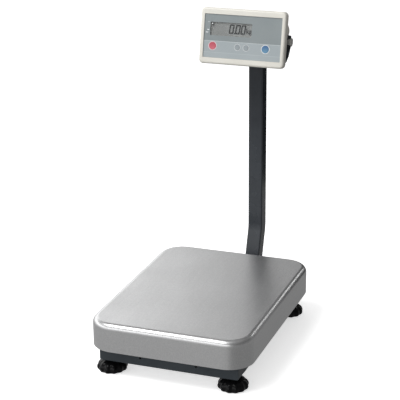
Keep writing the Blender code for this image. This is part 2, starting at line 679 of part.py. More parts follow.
def make_front_housing(plastic, head):
    """Front shell with a well rounded front edge; its face is recessed for the overlay."""
    half_x, half_z = HOUSING_WIDTH / 2, HOUSING_HEIGHT / 2
    lip_x, lip_z = OVERLAY_WIDTH / 2 + GAP, OVERLAY_HEIGHT / 2 + GAP
    rows = [(lip_x, lip_z, 0.0033, FRONT_WALL), (lip_x, lip_z, 0.0033, FRONT_RIM + 0.0006),
            (lip_x + 0.0006, lip_z + 0.0006, 0.0039, FRONT_RIM)]
    steps = 4
    for step in range(steps + 1):
        angle = math.pi / 2 * step / steps
        inside = FRONT_ROUND * (1 - math.sin(angle))
        depth = FRONT_RIM + FRONT_ROUND * (1 - math.cos(angle))
        rows.append((half_x - inside, half_z - inside, HOUSING_CORNER - inside, depth))
    rows += [(half_x, half_z, HOUSING_CORNER, FRONT_BACK),
             (half_x - SHELL, half_z - SHELL, HOUSING_CORNER - SHELL, FRONT_BACK),
             (half_x - 2 * SHELL, half_z - 2 * SHELL, HOUSING_CORNER - 2 * SHELL, FRONT_WALL_BACK)]
    shell = finish("front_housing", loft(plate_rings(rows)), plastic, head, smooth=35)
    opening = box("front_housing_window", *window_corners(-0.01, 0.01, GAP), plastic, head)
    combine(shell, opening, "DIFFERENCE")
    for _, x, radius in KEYS:
        drill(shell, along((0, 1, 0), head_point(x, 0.0, KEY_ROW)), radius + GAP, 0.02, 20, head)


def rear_outline():
    """Side outline of the rear shell as (y, z) from the tilt axis, hollowed round the yoke's plate."""
    start, end = DRUM_ARC
    steps = 8
    hollow = []
    for step in range(steps + 1):
        angle = start + (end - start) * step / steps
        hollow.append((DRUM_RADIUS * math.cos(angle), DRUM_RADIUS * math.sin(angle)))
    return REAR_FLOOR + hollow + REAR_CROWN


def inset(outline, offset):
    """Move an anticlockwise outline's sides inwards; its first and last points close the front."""
    moved_points = []
    for before, point, after in zip(outline[-1:] + outline[:-1], outline, outline[1:] + outline[:1]):
        first = Vector((point[1] - before[1], before[0] - point[0])).normalized()
        second = Vector((after[1] - point[1], point[0] - after[0])).normalized()
        shift = (first + second) * (offset / (1 + first.dot(second)))
        moved_points.append((point[0] - shift.x, point[1] - shift.y))
    return moved_points


def prism(outline, half_width):
    return loft([[(x, y, z) for y, z in outline] for x in (-half_width, half_width)])


def make_rear_housing(plastic, head):
    flange_front, flange_back = FRONT_BACK + GAP, FRONT_BACK + 0.0030
    half_x, half_z, corner = HOUSING_WIDTH / 2 - 0.001, HOUSING_HEIGHT / 2 - 0.001, HOUSING_CORNER - 0.001
    rows = [(half_x, half_z, corner, flange_front), (half_x, half_z, corner, flange_back)]
    shell = finish("rear_housing", loft(plate_rings(rows)), plastic, head, smooth=35)
    outline = rear_outline()
    outer = finish("rear_housing_body", prism(outline, REAR_HALF), plastic, head)
    hollow = inset(outline, SHELL)
    front = FRONT_BACK - 0.004 - PIVOT_DEPTH
    hollow = [(front, hollow[0][1])] + hollow[1:-1] + [(front, hollow[-1][1])]
    inner = finish("rear_housing_hollow", prism(hollow, REAR_HALF - SHELL), plastic, head)
    combine(shell, outer, "UNION")
    combine(shell, inner, "DIFFERENCE")
    for x, radius in ((-SOCKET_X, JACK_RADIUS), (SOCKET_X, GLAND_RADIUS)):
        drill(shell, along(SOCKET_AXIS, head_point(x, *SOCKET_PLACE)), radius + GAP, 0.016, 16, head)
    drill(shell, along((1, 0, 0), (0, 0, 0)), 0.0035, 0.3, 16, head)


def make_sockets(black, head):
    """Adapter jack and cable gland, side by side in the rear shell's lower slope."""
    bore = 0.00275
    outlines = [(-0.0100, circle(JACK_RADIUS, 16)), (0.0015, circle(JACK_RADIUS, 16)),
                (0.0015, circle(bore, 16)), (-0.0080, circle(bore, 16))]
    place = along(SOCKET_AXIS, head_point(-SOCKET_X, *SOCKET_PLACE))
    finish("adapter_jack", moved(turned(outlines), place), black, head, smooth=40)
    bore = 0.0026
    outlines = [(-0.0080, circle(GLAND_RADIUS, 16)), (0.0006, circle(GLAND_RADIUS, 16)),
                (0.0006, circle(GLAND_RADIUS + 0.0020, 16)), (0.0050, circle(GLAND_RADIUS + 0.0016, 16)),
                (0.0080, circle(GLAND_RADIUS - 0.0010, 16)), (0.0080, circle(bore, 16)),
                (-0.0060, circle(bore, 16))]
    place = along(SOCKET_AXIS, head_point(SOCKET_X, *SOCKET_PLACE))
    finish("cable_gland", moved(turned(outlines), place), black, head, smooth=40)


def make_display_face(film, clear, glass, board_green, head):
    rows = [(OVERLAY_WIDTH / 2, OVERLAY_HEIGHT / 2, 0.003, depth) for depth in (0.0, OVERLAY_SHEET)]
    overlay = finish("overlay_panel", loft(plate_rings(rows)), film, head)
    combine(overlay, box("overlay_window", *window_corners(-0.005, 0.005, 0.0), film, head), "DIFFERENCE")
    for _, x, radius in KEYS:
        drill(overlay, along((0, 1, 0), head_point(x, 0.0, KEY_ROW)), radius + GAP, 0.01, 20, head)
    box("display_window", *window_corners(0.0003, 0.0016, -2 * GAP), clear, head)
    box("lcd_module", *window_corners(FRONT_WALL_BACK + GAP, 0.0086, 0.004), glass, head)
    box("circuit_board", head_point(-0.093, 0.0092, -0.049), head_point(0.093, 0.0108, 0.049),
        board_green, head)


def make_keys(looks, head):
    """Round keys with a stem each; they travel straight into the face."""
    cap, stem, stem_end = 0.0024, 0.0030, 0.0084
    for (name, x, radius), look in zip(KEYS, looks):
        holder = empty(name + "_axis", head_point(x, 0.0, KEY_ROW), parent=head)
        outlines = [(KEY_TRAVEL, circle(radius - 0.0010, 20)), (KEY_TRAVEL - 0.0004, circle(radius, 20)),
                    (-cap, circle(radius, 20)), (-cap, circle(stem, 20)), (-stem_end, circle(stem, 20))]
        finish(name, moved(turned(outlines), along((0, -1, 0), (0, 0, 0))), look, holder, smooth=40)


def make_tilt_knobs(grey, head):
    """Thumb screws through the bracket's arms into the head's sides, on the tilt axis."""
    shank, step = 0.0032, ARM_OUTER + GAP
    outlines = [(REAR_HALF - 0.004, circle(shank, 16)), (step, circle(shank, 16)),
                (step, circle(KNOB_GRIP, 16)), (KNOB_END - 0.0015, circle(KNOB_GRIP, 16)),
                (KNOB_END, circle(KNOB_GRIP - 0.0015, 16))]
    for name, side in (("tilt_knob_left", -1), ("tilt_knob_right", 1)):
        finish(name, moved(turned(outlines), along((side, 0, 0), (0, 0, 0))), grey, head, smooth=40)


# ---------------------------------------------------------------- assembly

def main():
    for leftover in list(bpy.data.objects):
        bpy.data.objects.remove(leftover, do_unlink=True)

    steel = material("stainless_steel", (0.60, 0.60, 0.59), 0.32, 1.0)
    paint = material("charcoal_paint", (0.045, 0.050, 0.056), 0.45)
    zinc = material("zinc_steel", (0.62, 0.62, 0.60), 0.35, 1.0)
    alloy = material("aluminium", (0.70, 0.71, 0.72), 0.38, 1.0)
    black = material("black_plastic", (0.012, 0.012, 0.013), 0.28)
    rubber = material("rubber", (0.020, 0.020, 0.020), 0.75)
    beige = material("housing_plastic", (0.73, 0.72, 0.67), 0.42)
    film = material("overlay_film", (0.29, 0.34, 0.36), 0.40)
    clear = material("window_plastic", (0.30, 0.31, 0.30), 0.10)
    lcd = material("lcd_glass", (0.25, 0.26, 0.25), 0.20)
    green = material("board_green", (0.02, 0.16, 0.06), 0.45)
    grey = material("knob_grey", (0.55, 0.55, 0.53), 0.40)
    red = material("key_red", (0.62, 0.06, 0.10), 0.40)
    blue = material("key_blue", (0.03, 0.17, 0.45), 0.40)
    key_grey = material("key_grey", (0.36, 0.40, 0.42), 0.40)
    vial = material("vial_glass", (0.55, 0.75, 0.35), 0.10)

    make_pan(steel)
    rear_rail = make_frame(paint)
    make_overload_stops(zinc)
    make_feet(black, zinc)
    make_load_cell(alloy, paint, zinc)
    make_load_frame(paint, rubber)
    bracket = make_mast_bracket(rear_rail, paint, zinc)
    make_level(black, vial)
    make_mast(bracket, paint, zinc)
    block = make_head_block(paint)
    make_display_bracket(block, paint, zinc)

    head = empty("display_axis", (0, PIVOT_Y, PIVOT_HEIGHT), -DISPLAY_TILT)
    make_front_housing(beige, head)
    make_rear_housing(beige, head)
    make_sockets(black, head)
    make_display_face(film, clear, lcd, green, head)
    make_keys((red, key_grey, key_grey, blue), head)
    make_tilt_knobs(grey, head)


main()
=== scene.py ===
import json
import math

import bpy
from mathutils import Matrix, Vector


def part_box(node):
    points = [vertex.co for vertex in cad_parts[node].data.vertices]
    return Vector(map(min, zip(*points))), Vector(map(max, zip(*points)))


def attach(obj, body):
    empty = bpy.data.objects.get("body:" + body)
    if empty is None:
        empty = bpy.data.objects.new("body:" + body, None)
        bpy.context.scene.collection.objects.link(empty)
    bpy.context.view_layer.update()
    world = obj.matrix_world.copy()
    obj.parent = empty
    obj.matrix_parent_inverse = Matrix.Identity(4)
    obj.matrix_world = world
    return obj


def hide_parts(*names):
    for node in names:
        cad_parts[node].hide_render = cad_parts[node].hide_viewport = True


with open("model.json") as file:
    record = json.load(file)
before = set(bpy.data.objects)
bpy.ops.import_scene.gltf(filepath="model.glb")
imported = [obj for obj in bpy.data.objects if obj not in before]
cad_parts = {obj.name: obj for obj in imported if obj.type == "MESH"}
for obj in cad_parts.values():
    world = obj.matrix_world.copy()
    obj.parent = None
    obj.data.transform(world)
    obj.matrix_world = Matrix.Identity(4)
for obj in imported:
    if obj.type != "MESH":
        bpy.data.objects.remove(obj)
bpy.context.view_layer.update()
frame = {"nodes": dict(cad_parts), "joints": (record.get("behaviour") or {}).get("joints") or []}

# ======================================================================== weighing pan
# A deep cover pressed from 1.5 mm stainless sheet, lifted off by hand. The satin grain is rolled in
# along the sheet before pressing, so it runs from front to back, and the lower edge is deburred.

PAN_CORNER = 0.060
PAN_EDGE = 0.014
PAN_SHEET = 0.0015


def only(piece):
    """Make one piece the active object and the only selected one."""
    bpy.ops.object.select_all(action="DESELECT")
    piece.select_set(True)
    bpy.context.view_layer.objects.active = piece
    return piece


def block(name, low, high):
    """Start a piece from a cube at its size and place."""
    low, high = Vector(low), Vector(high)
    bpy.ops.mesh.primitive_cube_add(size=1, location=(low + high) / 2)
    piece = bpy.context.object
    piece.name = piece.data.name = name
    piece.scale = high - low
    bpy.ops.object.transform_apply()
    return only(piece)


def pick(piece, kind, test):
    """Enter edit mode with just the faces, edges or vertices that pass a test selected."""
    only(piece)
    bpy.ops.object.mode_set(mode="EDIT")
    bpy.ops.mesh.select_mode(type=kind)
    bpy.ops.mesh.select_all(action="DESELECT")
    bpy.ops.object.mode_set(mode="OBJECT")
    mesh = piece.data
    if kind == "FACE":
        for face in mesh.polygons:
            face.select = bool(test(face.center, face.normal))
    elif kind == "EDGE":
        for edge in mesh.edges:
            edge.select = bool(test(*(mesh.vertices[i].co for i in edge.vertices)))
    else:
        for vertex in mesh.vertices:
            vertex.select = bool(test(vertex.co))
    bpy.ops.object.mode_set(mode="EDIT")


def done():
    bpy.ops.object.mode_set(mode="OBJECT")


def apply(piece, kind, **settings):
    """Add a modifier with these settings and apply it."""
    only(piece)
    modifier = piece.modifiers.new(kind.lower(), kind)
    for name, value in settings.items():
        setattr(modifier, name, value)
    bpy.ops.object.modifier_apply(modifier=modifier.name)


def opened(piece, test):
    """Take away the faces that pass a test."""
    pick(piece, "FACE", test)
    bpy.ops.mesh.delete(type="FACE")
    done()


def round_edges(piece, radius, segments, test):
    """Round the edges that pass a test."""
    pick(piece, "EDGE", test)
    bpy.ops.mesh.bevel(offset=radius, segments=segments, affect="EDGES")
    done()


def thicken(piece, sheet):
    """Give a surface the thickness of its sheet or wall, inwards."""
    apply(piece, "SOLIDIFY", thickness=sheet, offset=-1.0, use_even_offset=True)


def soften(piece, width, segments=2, angle=32):
    """Break the sharp edges with a small radius."""
    apply(piece, "BEVEL", width=width, segments=segments, limit_method="ANGLE",
          angle_limit=math.radians(angle), miter_outer="MITER_ARC")


def settle(piece, look, body, slot, *nodes, smooth=38):
    """Shade a finished piece, give it its finish, and hang it on its body."""
    only(piece)
    bpy.ops.object.transform_apply()
    bpy.ops.object.shade_smooth_by_angle(angle=math.radians(smooth))
    apply(piece, "WEIGHTED_NORMAL", keep_sharp=True)
    piece.data.materials.clear()
    piece.data.materials.append(look)
    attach(piece, body)
    if nodes:
        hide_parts(*nodes)
    return piece


def new_look(name):
    """Start a material; returns it with its node tree and its shader."""
    look = bpy.data.materials.new(name)
    look.use_nodes = True
    return look, look.node_tree, look.node_tree.nodes["Principled BSDF"]


def put(tree, kind, inputs=None, **settings):
    """Add a node, set its properties, and fill or link its inputs."""
    node = tree.nodes.new(kind)
    for name, value in settings.items():
        setattr(node, name, value)
    for socket, value in (inputs or {}).items():
        if isinstance(value, bpy.types.NodeSocket):
            tree.links.new(value, node.inputs[socket])
        else:
            node.inputs[socket].default_value = value
    return node


def effect(name, inputs, outputs):
    """Start a node group for an effect that several materials share."""
    tree = bpy.data.node_groups.new(name, "ShaderNodeTree")
    for label, kind, value in inputs:
        socket = tree.interface.new_socket(label, in_out="INPUT", socket_type="NodeSocket" + kind)
        socket.default_value = value
    for label, kind in outputs:
        tree.interface.new_socket(label, in_out="OUTPUT", socket_type="NodeSocket" + kind)
    return tree, tree.nodes.new("NodeGroupInput").outputs, tree.nodes.new("NodeGroupOutput").inputs


def use(tree, group, **inputs):
    """Place a shared effect in a material with its own values; returns its outputs."""
    node = put(tree, "ShaderNodeGroup", node_tree=group)
    for label, value in inputs.items():
        socket = node.inputs[label.replace("_", " ")]
        if isinstance(value, bpy.types.NodeSocket):
            tree.links.new(value, socket)
        else:
            socket.default_value = value
    return node.outputs


def mixed(tree, factor, first, second):
    """Colour that goes from the first to the second with a factor."""
    node = put(tree, "ShaderNodeMix", data_type="RGBA")
    for socket, value in ((node.inputs[0], factor), (node.inputs[6], first), (node.inputs[7], second)):
        if isinstance(value, bpy.types.NodeSocket):
            tree.links.new(value, socket)
        elif isinstance(value, tuple) and len(value) == 3:
            socket.default_value = (*value, 1.0)
        else:
            socket.default_value = value
    return node.outputs[2]


def ranged(tree, value, low, high, start=0.0, end=1.0):
    """Map a value between start and end to low and high."""
    return put(tree, "ShaderNodeMapRange", {"Value": value, "From Min": start, "From Max": end,
                                            "To Min": low, "To Max": high}).outputs[0]


def bumped(tree, shader, height, strength, distance=0.0002):
    """Feed a height into the shader's normal."""
    bump = put(tree, "ShaderNodeBump", {"Height": height, "Strength": strength, "Distance": distance})
    tree.links.new(bump.outputs[0], shader.inputs["Normal"])


# Metal grain: noise drawn out along one direction, with a slow cloud over it.
grain, given, out = effect("metal grain", (("Stretch", "Vector", (1, 1, 1)), ("Fineness", "Float", 900.0),
                                           ("Cloud size", "Float", 9.0)),
                           (("Lines", "Float"), ("Cloud", "Float"), ("Speckle", "Float")))
spot = put(grain, "ShaderNodeTexCoord").outputs["Object"]
drawn_out = put(grain, "ShaderNodeMapping", {"Vector": spot, "Scale": given["Stretch"]}).outputs[0]
lines = put(grain, "ShaderNodeTexNoise", {"Vector": drawn_out, "Scale": given["Fineness"], "Detail": 3.0,
                                          "Roughness": 0.6})
cloud = put(grain, "ShaderNodeTexNoise", {"Vector": spot, "Scale": given["Cloud size"], "Detail": 3.0})
speckle = put(grain, "ShaderNodeTexNoise", {"Vector": spot, "Scale": 420.0, "Detail": 2.0, "Roughness": 0.7})
grain.links.new(lines.outputs["Fac"], out["Lines"])
grain.links.new(cloud.outputs["Fac"], out["Cloud"])
grain.links.new(speckle.outputs["Fac"], out["Speckle"])

# Edge wear: where the surface turns over an edge within a small radius, broken up by noise.
wear, given, out = effect("edge wear", (("Radius", "Float", 0.0008), ("Patchiness", "Float", 160.0)),
                          (("Mask", "Float"),))
rounded = put(wear, "ShaderNodeBevel", {"Radius": given["Radius"]}, samples=4)
plain = put(wear, "ShaderNodeNewGeometry")
turn = put(wear, "ShaderNodeVectorMath", {0: rounded.outputs[0], 1: plain.outputs["Normal"]},
           operation="DOT_PRODUCT")
edge = ranged(wear, turn.outputs["Value"], 0.0, 1.0, 0.985, 0.86)
patches = put(wear, "ShaderNodeTexNoise", {"Vector": put(wear, "ShaderNodeTexCoord").outputs["Object"],
                                           "Scale": given["Patchiness"], "Detail": 4.0})
worn = put(wear, "ShaderNodeMath", {0: edge, 1: ranged(wear, patches.outputs["Fac"], 0.0, 1.0, 0.45, 0.70)},
           operation="MULTIPLY", use_clamp=True)
wear.links.new(worn.outputs[0], out["Mask"])

pan_steel, tree, shader = new_look("satin_stainless")
rolled = use(tree, grain, Stretch=(1.0, 0.02, 1.0), Fineness=2200.0, Cloud_size=7.0)
streaks = use(tree, grain, Stretch=(1.0, 0.05, 1.0), Fineness=260.0, Cloud_size=3.0)
tone = mixed(tree, ranged(tree, rolled["Speckle"], 0.0, 1.0, 0.3, 0.7), (0.50, 0.505, 0.51),
             (0.62, 0.62, 0.62))
tone = mixed(tree, ranged(tree, streaks["Lines"], 0.0, 0.35, 0.35, 0.7), tone, (0.49, 0.49, 0.495))
tree.links.new(tone, shader.inputs["Base Color"])
shader.inputs["Metallic"].default_value = 1.0
satin = put(tree, "ShaderNodeMath", {0: ranged(tree, rolled["Lines"], -0.04, 0.05, 0.3, 0.7),
                                     1: ranged(tree, rolled["Cloud"], 0.30, 0.36, 0.3, 0.7)}, operation="ADD")
tree.links.new(satin.outputs[0], shader.inputs["Roughness"])
bumped(tree, shader, rolled["Lines"], 0.10, 0.00005)

pan_low, pan_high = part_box("pan")
pan = block("pan_cover", pan_low, pan_high)
opened(pan, lambda middle, normal: normal.z < -0.9)
round_edges(pan, PAN_CORNER, 16, lambda a, b: abs(a.z - b.z) > 0.01)
round_edges(pan, PAN_EDGE, 10, lambda a, b: min(a.z, b.z) > pan_high.z - 1e-5)
thicken(pan, PAN_SHEET)
soften(pan, 0.0004)
settle(pan, pan_steel, "pan", "pan_steel", "pan")

# ======================================================================== base frame
# Four channels folded from 2.5 mm steel and welded into a rectangle, with a drilled plate for the feet
# at each end. The whole frame is dipped in dark slate baked paint, which thins along the edges.

FRAME_SHEET = 0.0025
FRAME_BEND = 0.0030
RAIL_HOLE = 0.00275
RAIL_HOLE_X = 0.068
RAIL_HOLE_Z = 0.0497
SIDE_FLANGE_REACH = 0.200
STUD_HOLE = 0.0053

# Orange peel: the fine, low waves that sprayed or baked paint sets into.
peel, given, out = effect("orange peel", (("Fineness", "Float", 900.0),),
                          (("Height", "Float"), ("Cloud", "Float")))
spot = put(peel, "ShaderNodeTexCoord").outputs["Object"]
waves = put(peel, "ShaderNodeTexNoise", {"Vector": spot, "Scale": given["Fineness"], "Detail": 2.0})
cells = put(peel, "ShaderNodeTexVoronoi", {"Vector": spot, "Scale": given["Fineness"]}, feature="SMOOTH_F1")
both = put(peel, "ShaderNodeMath", {0: waves.outputs["Fac"], 1: cells.outputs["Distance"]}, operation="ADD")
cloud = put(peel, "ShaderNodeTexNoise", {"Vector": spot, "Scale": 14.0, "Detail": 4.0})
peel.links.new(both.outputs[0], out["Height"])
peel.links.new(cloud.outputs["Fac"], out["Cloud"])


def coated(tree, shader, tone, noise, smooth, rough):
    """Feed the shader its tone, and a roughness between two values that follows a noise."""
    tree.links.new(tone, shader.inputs["Base Color"])
    tree.links.new(ranged(tree, noise, smooth, rough, 0.3, 0.7), shader.inputs["Roughness"])


def finish(name, noise, dark, light, sheen, relief=None, spread=(0.0, 1.0), source="Cloud", rubbed=None,
           metallic=0.0, specular=0.5, **inputs):
    """A material whose tone and sheen follow a noise; its edges can be rubbed to another colour."""
    look, tree, shader = new_look(name)
    shader.inputs["Metallic"].default_value = metallic
    shader.inputs["Specular IOR Level"].default_value = specular
    skin = use(tree, noise, **inputs)
    tone = mixed(tree, ranged(tree, skin["Cloud"], 0.0, 1.0, *spread), dark, light)
    if rubbed:
        radius, patchiness, most, colour = rubbed
        worn = use(tree, wear, Radius=radius, Patchiness=patchiness)
        tone = mixed(tree, ranged(tree, worn["Mask"], 0.0, most), tone, colour)
    coated(tree, shader, tone, skin[source], *sheen)
    if relief:
        bumped(tree, shader, skin[relief[0]], *relief[1:])
    return look


frame_paint = finish("slate_baked_paint", peel, (0.034, 0.042, 0.049), (0.045, 0.054, 0.062), (0.37, 0.48),
                     ("Height", 0.12, 0.0001), (0.35, 0.65), rubbed=(0.0006, 160.0, 0.7, (0.12, 0.12, 0.12)),
                     specular=0.25, Fineness=1100.0)


def folded(name, low, high, open_sides, bend):
    """Fold a channel: a box without its open sides, bent along the edges that are left."""
    piece = block(name, low, high)
    open_sides = [Vector(side) for side in open_sides]
    pick(piece, "FACE", lambda middle, normal: any(normal.dot(side) > 0.9 for side in open_sides))
    bpy.ops.mesh.delete(type="FACE")
    bpy.ops.mesh.select_all(action="SELECT")
    bpy.ops.mesh.region_to_loop()
    bpy.ops.mesh.select_all(action="INVERT")
    bpy.ops.mesh.bevel(offset=bend, segments=4, affect="EDGES")
    done()
    return piece


def cut(piece, other, operation="DIFFERENCE"):
    """Cut a piece by another, or join them, and clear the other away."""
    apply(piece, "BOOLEAN", operation=operation, solver="EXACT", object=other)
    bpy.data.objects.remove(other)


def rod(name, place, direction, radius, length, vertices=32):
    """Start a piece from a cylinder whose middle is at the place."""
    bpy.ops.mesh.primitive_cylinder_add(vertices=vertices, radius=radius, depth=length, location=place,
                                        rotation=Vector(direction).to_track_quat("Z", "Y").to_euler())
    piece = bpy.context.object
    piece.name = piece.data.name = name
    bpy.ops.object.transform_apply()
    return only(piece)


def drill(piece, place, direction, radius, depth, vertices=32):
    """Cut a round hole whose middle is at the place."""
    cut(piece, rod("hole", place, direction, radius, depth, vertices))


def trimmed_rail(node, open_side, run, flange_reach):
    """A rail whose flanges stop short of its web, so that it clears the rails it meets."""
    low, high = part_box(node)
    run, into = Vector(run), Vector(open_side)
    piece = folded(node + "_channel", low, high, (run, -run, into), FRAME_BEND)
    middle = (low + high) / 2
    for side in (-1, 1):
        pick(piece, "VERT", lambda place: True)
        bpy.ops.mesh.bisect(plane_co=middle + run * side * flange_reach, plane_no=run)
        done()
    web = max(-low.dot(into), -high.dot(into))
    opened(piece, lambda place, normal: abs((place - middle).dot(run)) > flange_reach
           and (-place.dot(into) < web - 1e-4))
    thicken(piece, FRAME_SHEET)
    return piece


end_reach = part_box("front_rail")[1].x - FRAME_SHEET - 0.0003
for node, open_side, run, reach in (("front_rail", (0, 1, 0), (1, 0, 0), end_reach),
                                    ("rear_rail", (0, -1, 0), (1, 0, 0), end_reach),
                                    ("left_rail", (1, 0, 0), (0, 1, 0), SIDE_FLANGE_REACH),
                                    ("right_rail", (-1, 0, 0), (0, 1, 0), SIDE_FLANGE_REACH)):
    rail = trimmed_rail(node, open_side, run, reach)
    if node == "front_rail":
        for x in (-RAIL_HOLE_X, RAIL_HOLE_X):
            drill(rail, (x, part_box(node)[0].y, RAIL_HOLE_Z), (0, 1, 0), RAIL_HOLE, 0.02)
    soften(rail, 0.0003)
    settle(rail, frame_paint, "base", "frame_paint", node)


def middle_of(node):
    low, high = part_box(node)
    return (low + high) / 2


# The foot plates are strips welded between the end rails' flanges and drilled for the studs.
for node in ("front_foot_plate", "rear_foot_plate"):
    low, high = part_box(node)
    plate = block(node + "_strip", low, high)
    for stud in ("left", "right"):
        middle = middle_of("foot_stud_" + node.split("_")[0] + "_" + stud)
        drill(plate, (middle.x, middle.y, low.z), (0, 0, 1), STUD_HOLE, 0.03)
    soften(plate, 0.0004)
    settle(plate, frame_paint, "base", "frame_paint", node)

# ======================================================================== load cell and load frame
# A machined aluminium single-point cell with two cross bores, bolted to a folded cross beam behind and
# under a thick load plate in front. Two folded channels on the plate carry the pan on rubber pads.

BOLT_CLEARANCE = 0.0043
BOLT_HEAD = 0.005
CELL_BORE = 0.0125

cast_alloy = finish("machined_aluminium", grain, (0.62, 0.63, 0.64), (0.74, 0.75, 0.76), (0.30, 0.46),
                    ("Lines", 0.15, 0.00008), source="Lines", rubbed=(0.0008, 160.0, 1.0, (0.86, 0.86, 0.86)),
                    metallic=1.0, Stretch=(1.0, 0.06, 1.0), Fineness=1500.0, Cloud_size=30.0)
zinc = finish("bright_zinc_plate", grain, (0.58, 0.60, 0.62), (0.70, 0.69, 0.64), (0.24, 0.42),
              ("Speckle", 0.08, 0.00006), (0.35, 0.65), "Speckle", (0.0004, 160.0, 1.0, (0.80, 0.80, 0.80)),
              metallic=1.0, Fineness=500.0, Cloud_size=60.0)
pad_rubber = finish("black_pad_rubber", grain, (0.012, 0.012, 0.012), (0.035, 0.034, 0.032), (0.70, 0.86),
                    ("Lines", 0.25, 0.0001), source="Lines", Fineness=900.0, Cloud_size=45.0)


def joined(piece, *others):
    """Make several pieces into one object; they stay separate shells in its mesh."""
    only(piece)
    for other in others:
        other.select_set(True)
    bpy.ops.object.join()
    return only(piece)


def hexagon(name, place, direction, across_corners, height):
    """A hexagon with its outer corners turned down to a chamfer."""
    nut = rod(name, place, direction, across_corners, height, vertices=6)
    turned = rod("turning", place, direction, across_corners, height, vertices=48)
    soften(turned, across_corners * 0.10, segments=1)
    cut(nut, turned, "INTERSECT")
    return nut


def hex_bolt(name, face, direction, shank, length, across_corners, height, nut_at=None):
    """Hexagon-head bolt; its head stands on the face, against the direction its shank goes in."""
    face, direction = Vector(face), Vector(direction).normalized()
    head = hexagon(name, face - direction * height * 0.6, direction, across_corners, height * 0.8)
    washer = rod("washer", face - direction * height * 0.1, direction, across_corners * 1.12, height * 0.2)
    stem_middle = face + direction * (length / 2 - height * 0.1)
    stem = rod("stem", stem_middle, direction, shank, length - height * 0.2)
    soften(washer, height * 0.04)
    soften(stem, shank * 0.15)
    pieces = [washer, stem]
    if nut_at:
        pieces.append(hexagon("nut", face + direction * nut_at, direction, across_corners, height))
    return joined(head, *pieces)


low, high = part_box("load_cell")
cell = block("load_cell_body", low, high)
middle = (low + high) / 2
cut(cell, block("waist", (low.x - 0.01, middle.y - 0.014, middle.z - 0.006),
                (high.x + 0.01, middle.y + 0.014, middle.z + 0.006)))
for offset in (-0.016, 0.016):
    drill(cell, (0, middle.y + offset, middle.z), (1, 0, 0), CELL_BORE, 0.06, vertices=64)
soften(cell, 0.0007)
settle(cell, cast_alloy, "base", "aluminium", "load_cell")

for node in ("load_cell_top_spacer", "load_cell_bottom_spacer"):
    spacer = block(node + "_block", *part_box(node))
    soften(spacer, 0.0005)
    settle(spacer, zinc, "base", "zinc_steel", node)

low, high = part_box("cross_beam")
beam = folded("cross_beam_channel", low, high, ((0, 0, -1), (1, 0, 0), (-1, 0, 0)), 0.005)
thicken(beam, 0.004)
plate = block("load_plate_slab", *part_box("load_plate"))
round_edges(plate, 0.006, 5, lambda a, b: abs(a.z - b.z) > 0.005)
for node in ("load_cell_top_bolt_left", "load_cell_top_bolt_right",
             "load_cell_bottom_bolt_left", "load_cell_bottom_bolt_right"):
    low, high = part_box(node)
    on_top = "top" in node
    head_end, inward, held = (high.z, -1, plate) if on_top else (low.z, 1, beam)
    face = Vector((*middle_of(node).xy, head_end + inward * BOLT_HEAD))
    drill(held, (face.x, face.y, head_end), (0, 0, 1), BOLT_CLEARANCE, 0.04)
    bolt = hex_bolt(node + "_hex", face, (0, 0, inward), 0.004, high.z - low.z - BOLT_HEAD, 0.0072, BOLT_HEAD)
    settle(bolt, zinc, "base", "zinc_steel", node)
for piece, node in ((beam, "cross_beam"), (plate, "load_plate")):
    soften(piece, 0.0005)
    settle(piece, frame_paint, "base", "frame_paint", node)

for node in ("load_beam_left", "load_beam_right"):
    low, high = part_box(node)
    channel = folded(node + "_channel", low, high, ((0, 0, -1), (0, 1, 0), (0, -1, 0)), 0.004)
    thicken(channel, FRAME_SHEET)
    soften(channel, 0.0003)
    settle(channel, frame_paint, "base", "frame_paint", node)


def extrude(way):
    """Extrude the selection by a vector."""
    bpy.ops.mesh.extrude_region_move(TRANSFORM_OT_translate={"value": way})


for node in [name for name in frame["nodes"] if name.startswith(("pan_pad", "overload_stop"))]:
    low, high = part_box(node)
    x, y, z = middle_of(node)
    height = high.z - low.z
    if node.startswith("pan_pad"):
        pad = rod(node + "_rubber", (x, y, z), (0, 0, 1), 0.0115, height, vertices=48)
        pick(pad, "FACE", lambda place, normal: normal.z > 0.9)
        bpy.ops.mesh.inset(thickness=0.0050)
        extrude((0, 0, -0.0015))
        done()
        soften(pad, 0.0006)
        settle(pad, pad_rubber, "base", "pad_rubber", node)
    else:
        nut = hexagon(node + "_pillar", (x, y, low.z + 0.004), (0, 0, 1), 0.0085, 0.008)
        pillar = rod("pillar", (x, y, low.z + 0.004 + height / 2), (0, 0, 1), 0.005, height - 0.008)
        soften(pillar, 0.0006)
        settle(joined(nut, pillar), zinc, "base", "zinc_steel", node)

# ======================================================================== levelling feet
# Scalloped hand knobs moulded in glossy black nylon, each on an M10 zinc-plated stud that screws up
# through its foot plate. The soles are rounded, so that the foot slides as it is turned.

FOOT_LOBES = 12
FOOT_RADIUS = 0.0363
FOOT_PROFILE = ((0.0, 0.0300, 0.0020), (0.0015, 0.0330, 0.0032), (0.0050, 0.0355, 0.0046),
                (0.0090, 0.0362, 0.0048), (0.0130, 0.0350, 0.0045), (0.0170, 0.0325, 0.0038),
                (0.0210, 0.0280, 0.0024), (0.0240, 0.0220, 0.0010),
                (0.0262, 0.0150, 0.0000))                 # height, radius, depth of the hollows
THREAD_PITCH = 0.0015

glossy_black = finish("glossy_black_nylon", grain, (0.003, 0.003, 0.0035), (0.006, 0.006, 0.0065),
                      (0.16, 0.26), ("Speckle", 0.04, 0.00005), rubbed=(0.0008, 220.0, 1.0, (0.03, 0.03, 0.03)),
                      specular=0.12, Fineness=700.0, Cloud_size=40.0)


def face_out(piece):
    """Turn all of a piece's faces outwards."""
    pick(piece, "VERT", lambda place: True)
    bpy.ops.mesh.normals_make_consistent(inside=False)
    done()


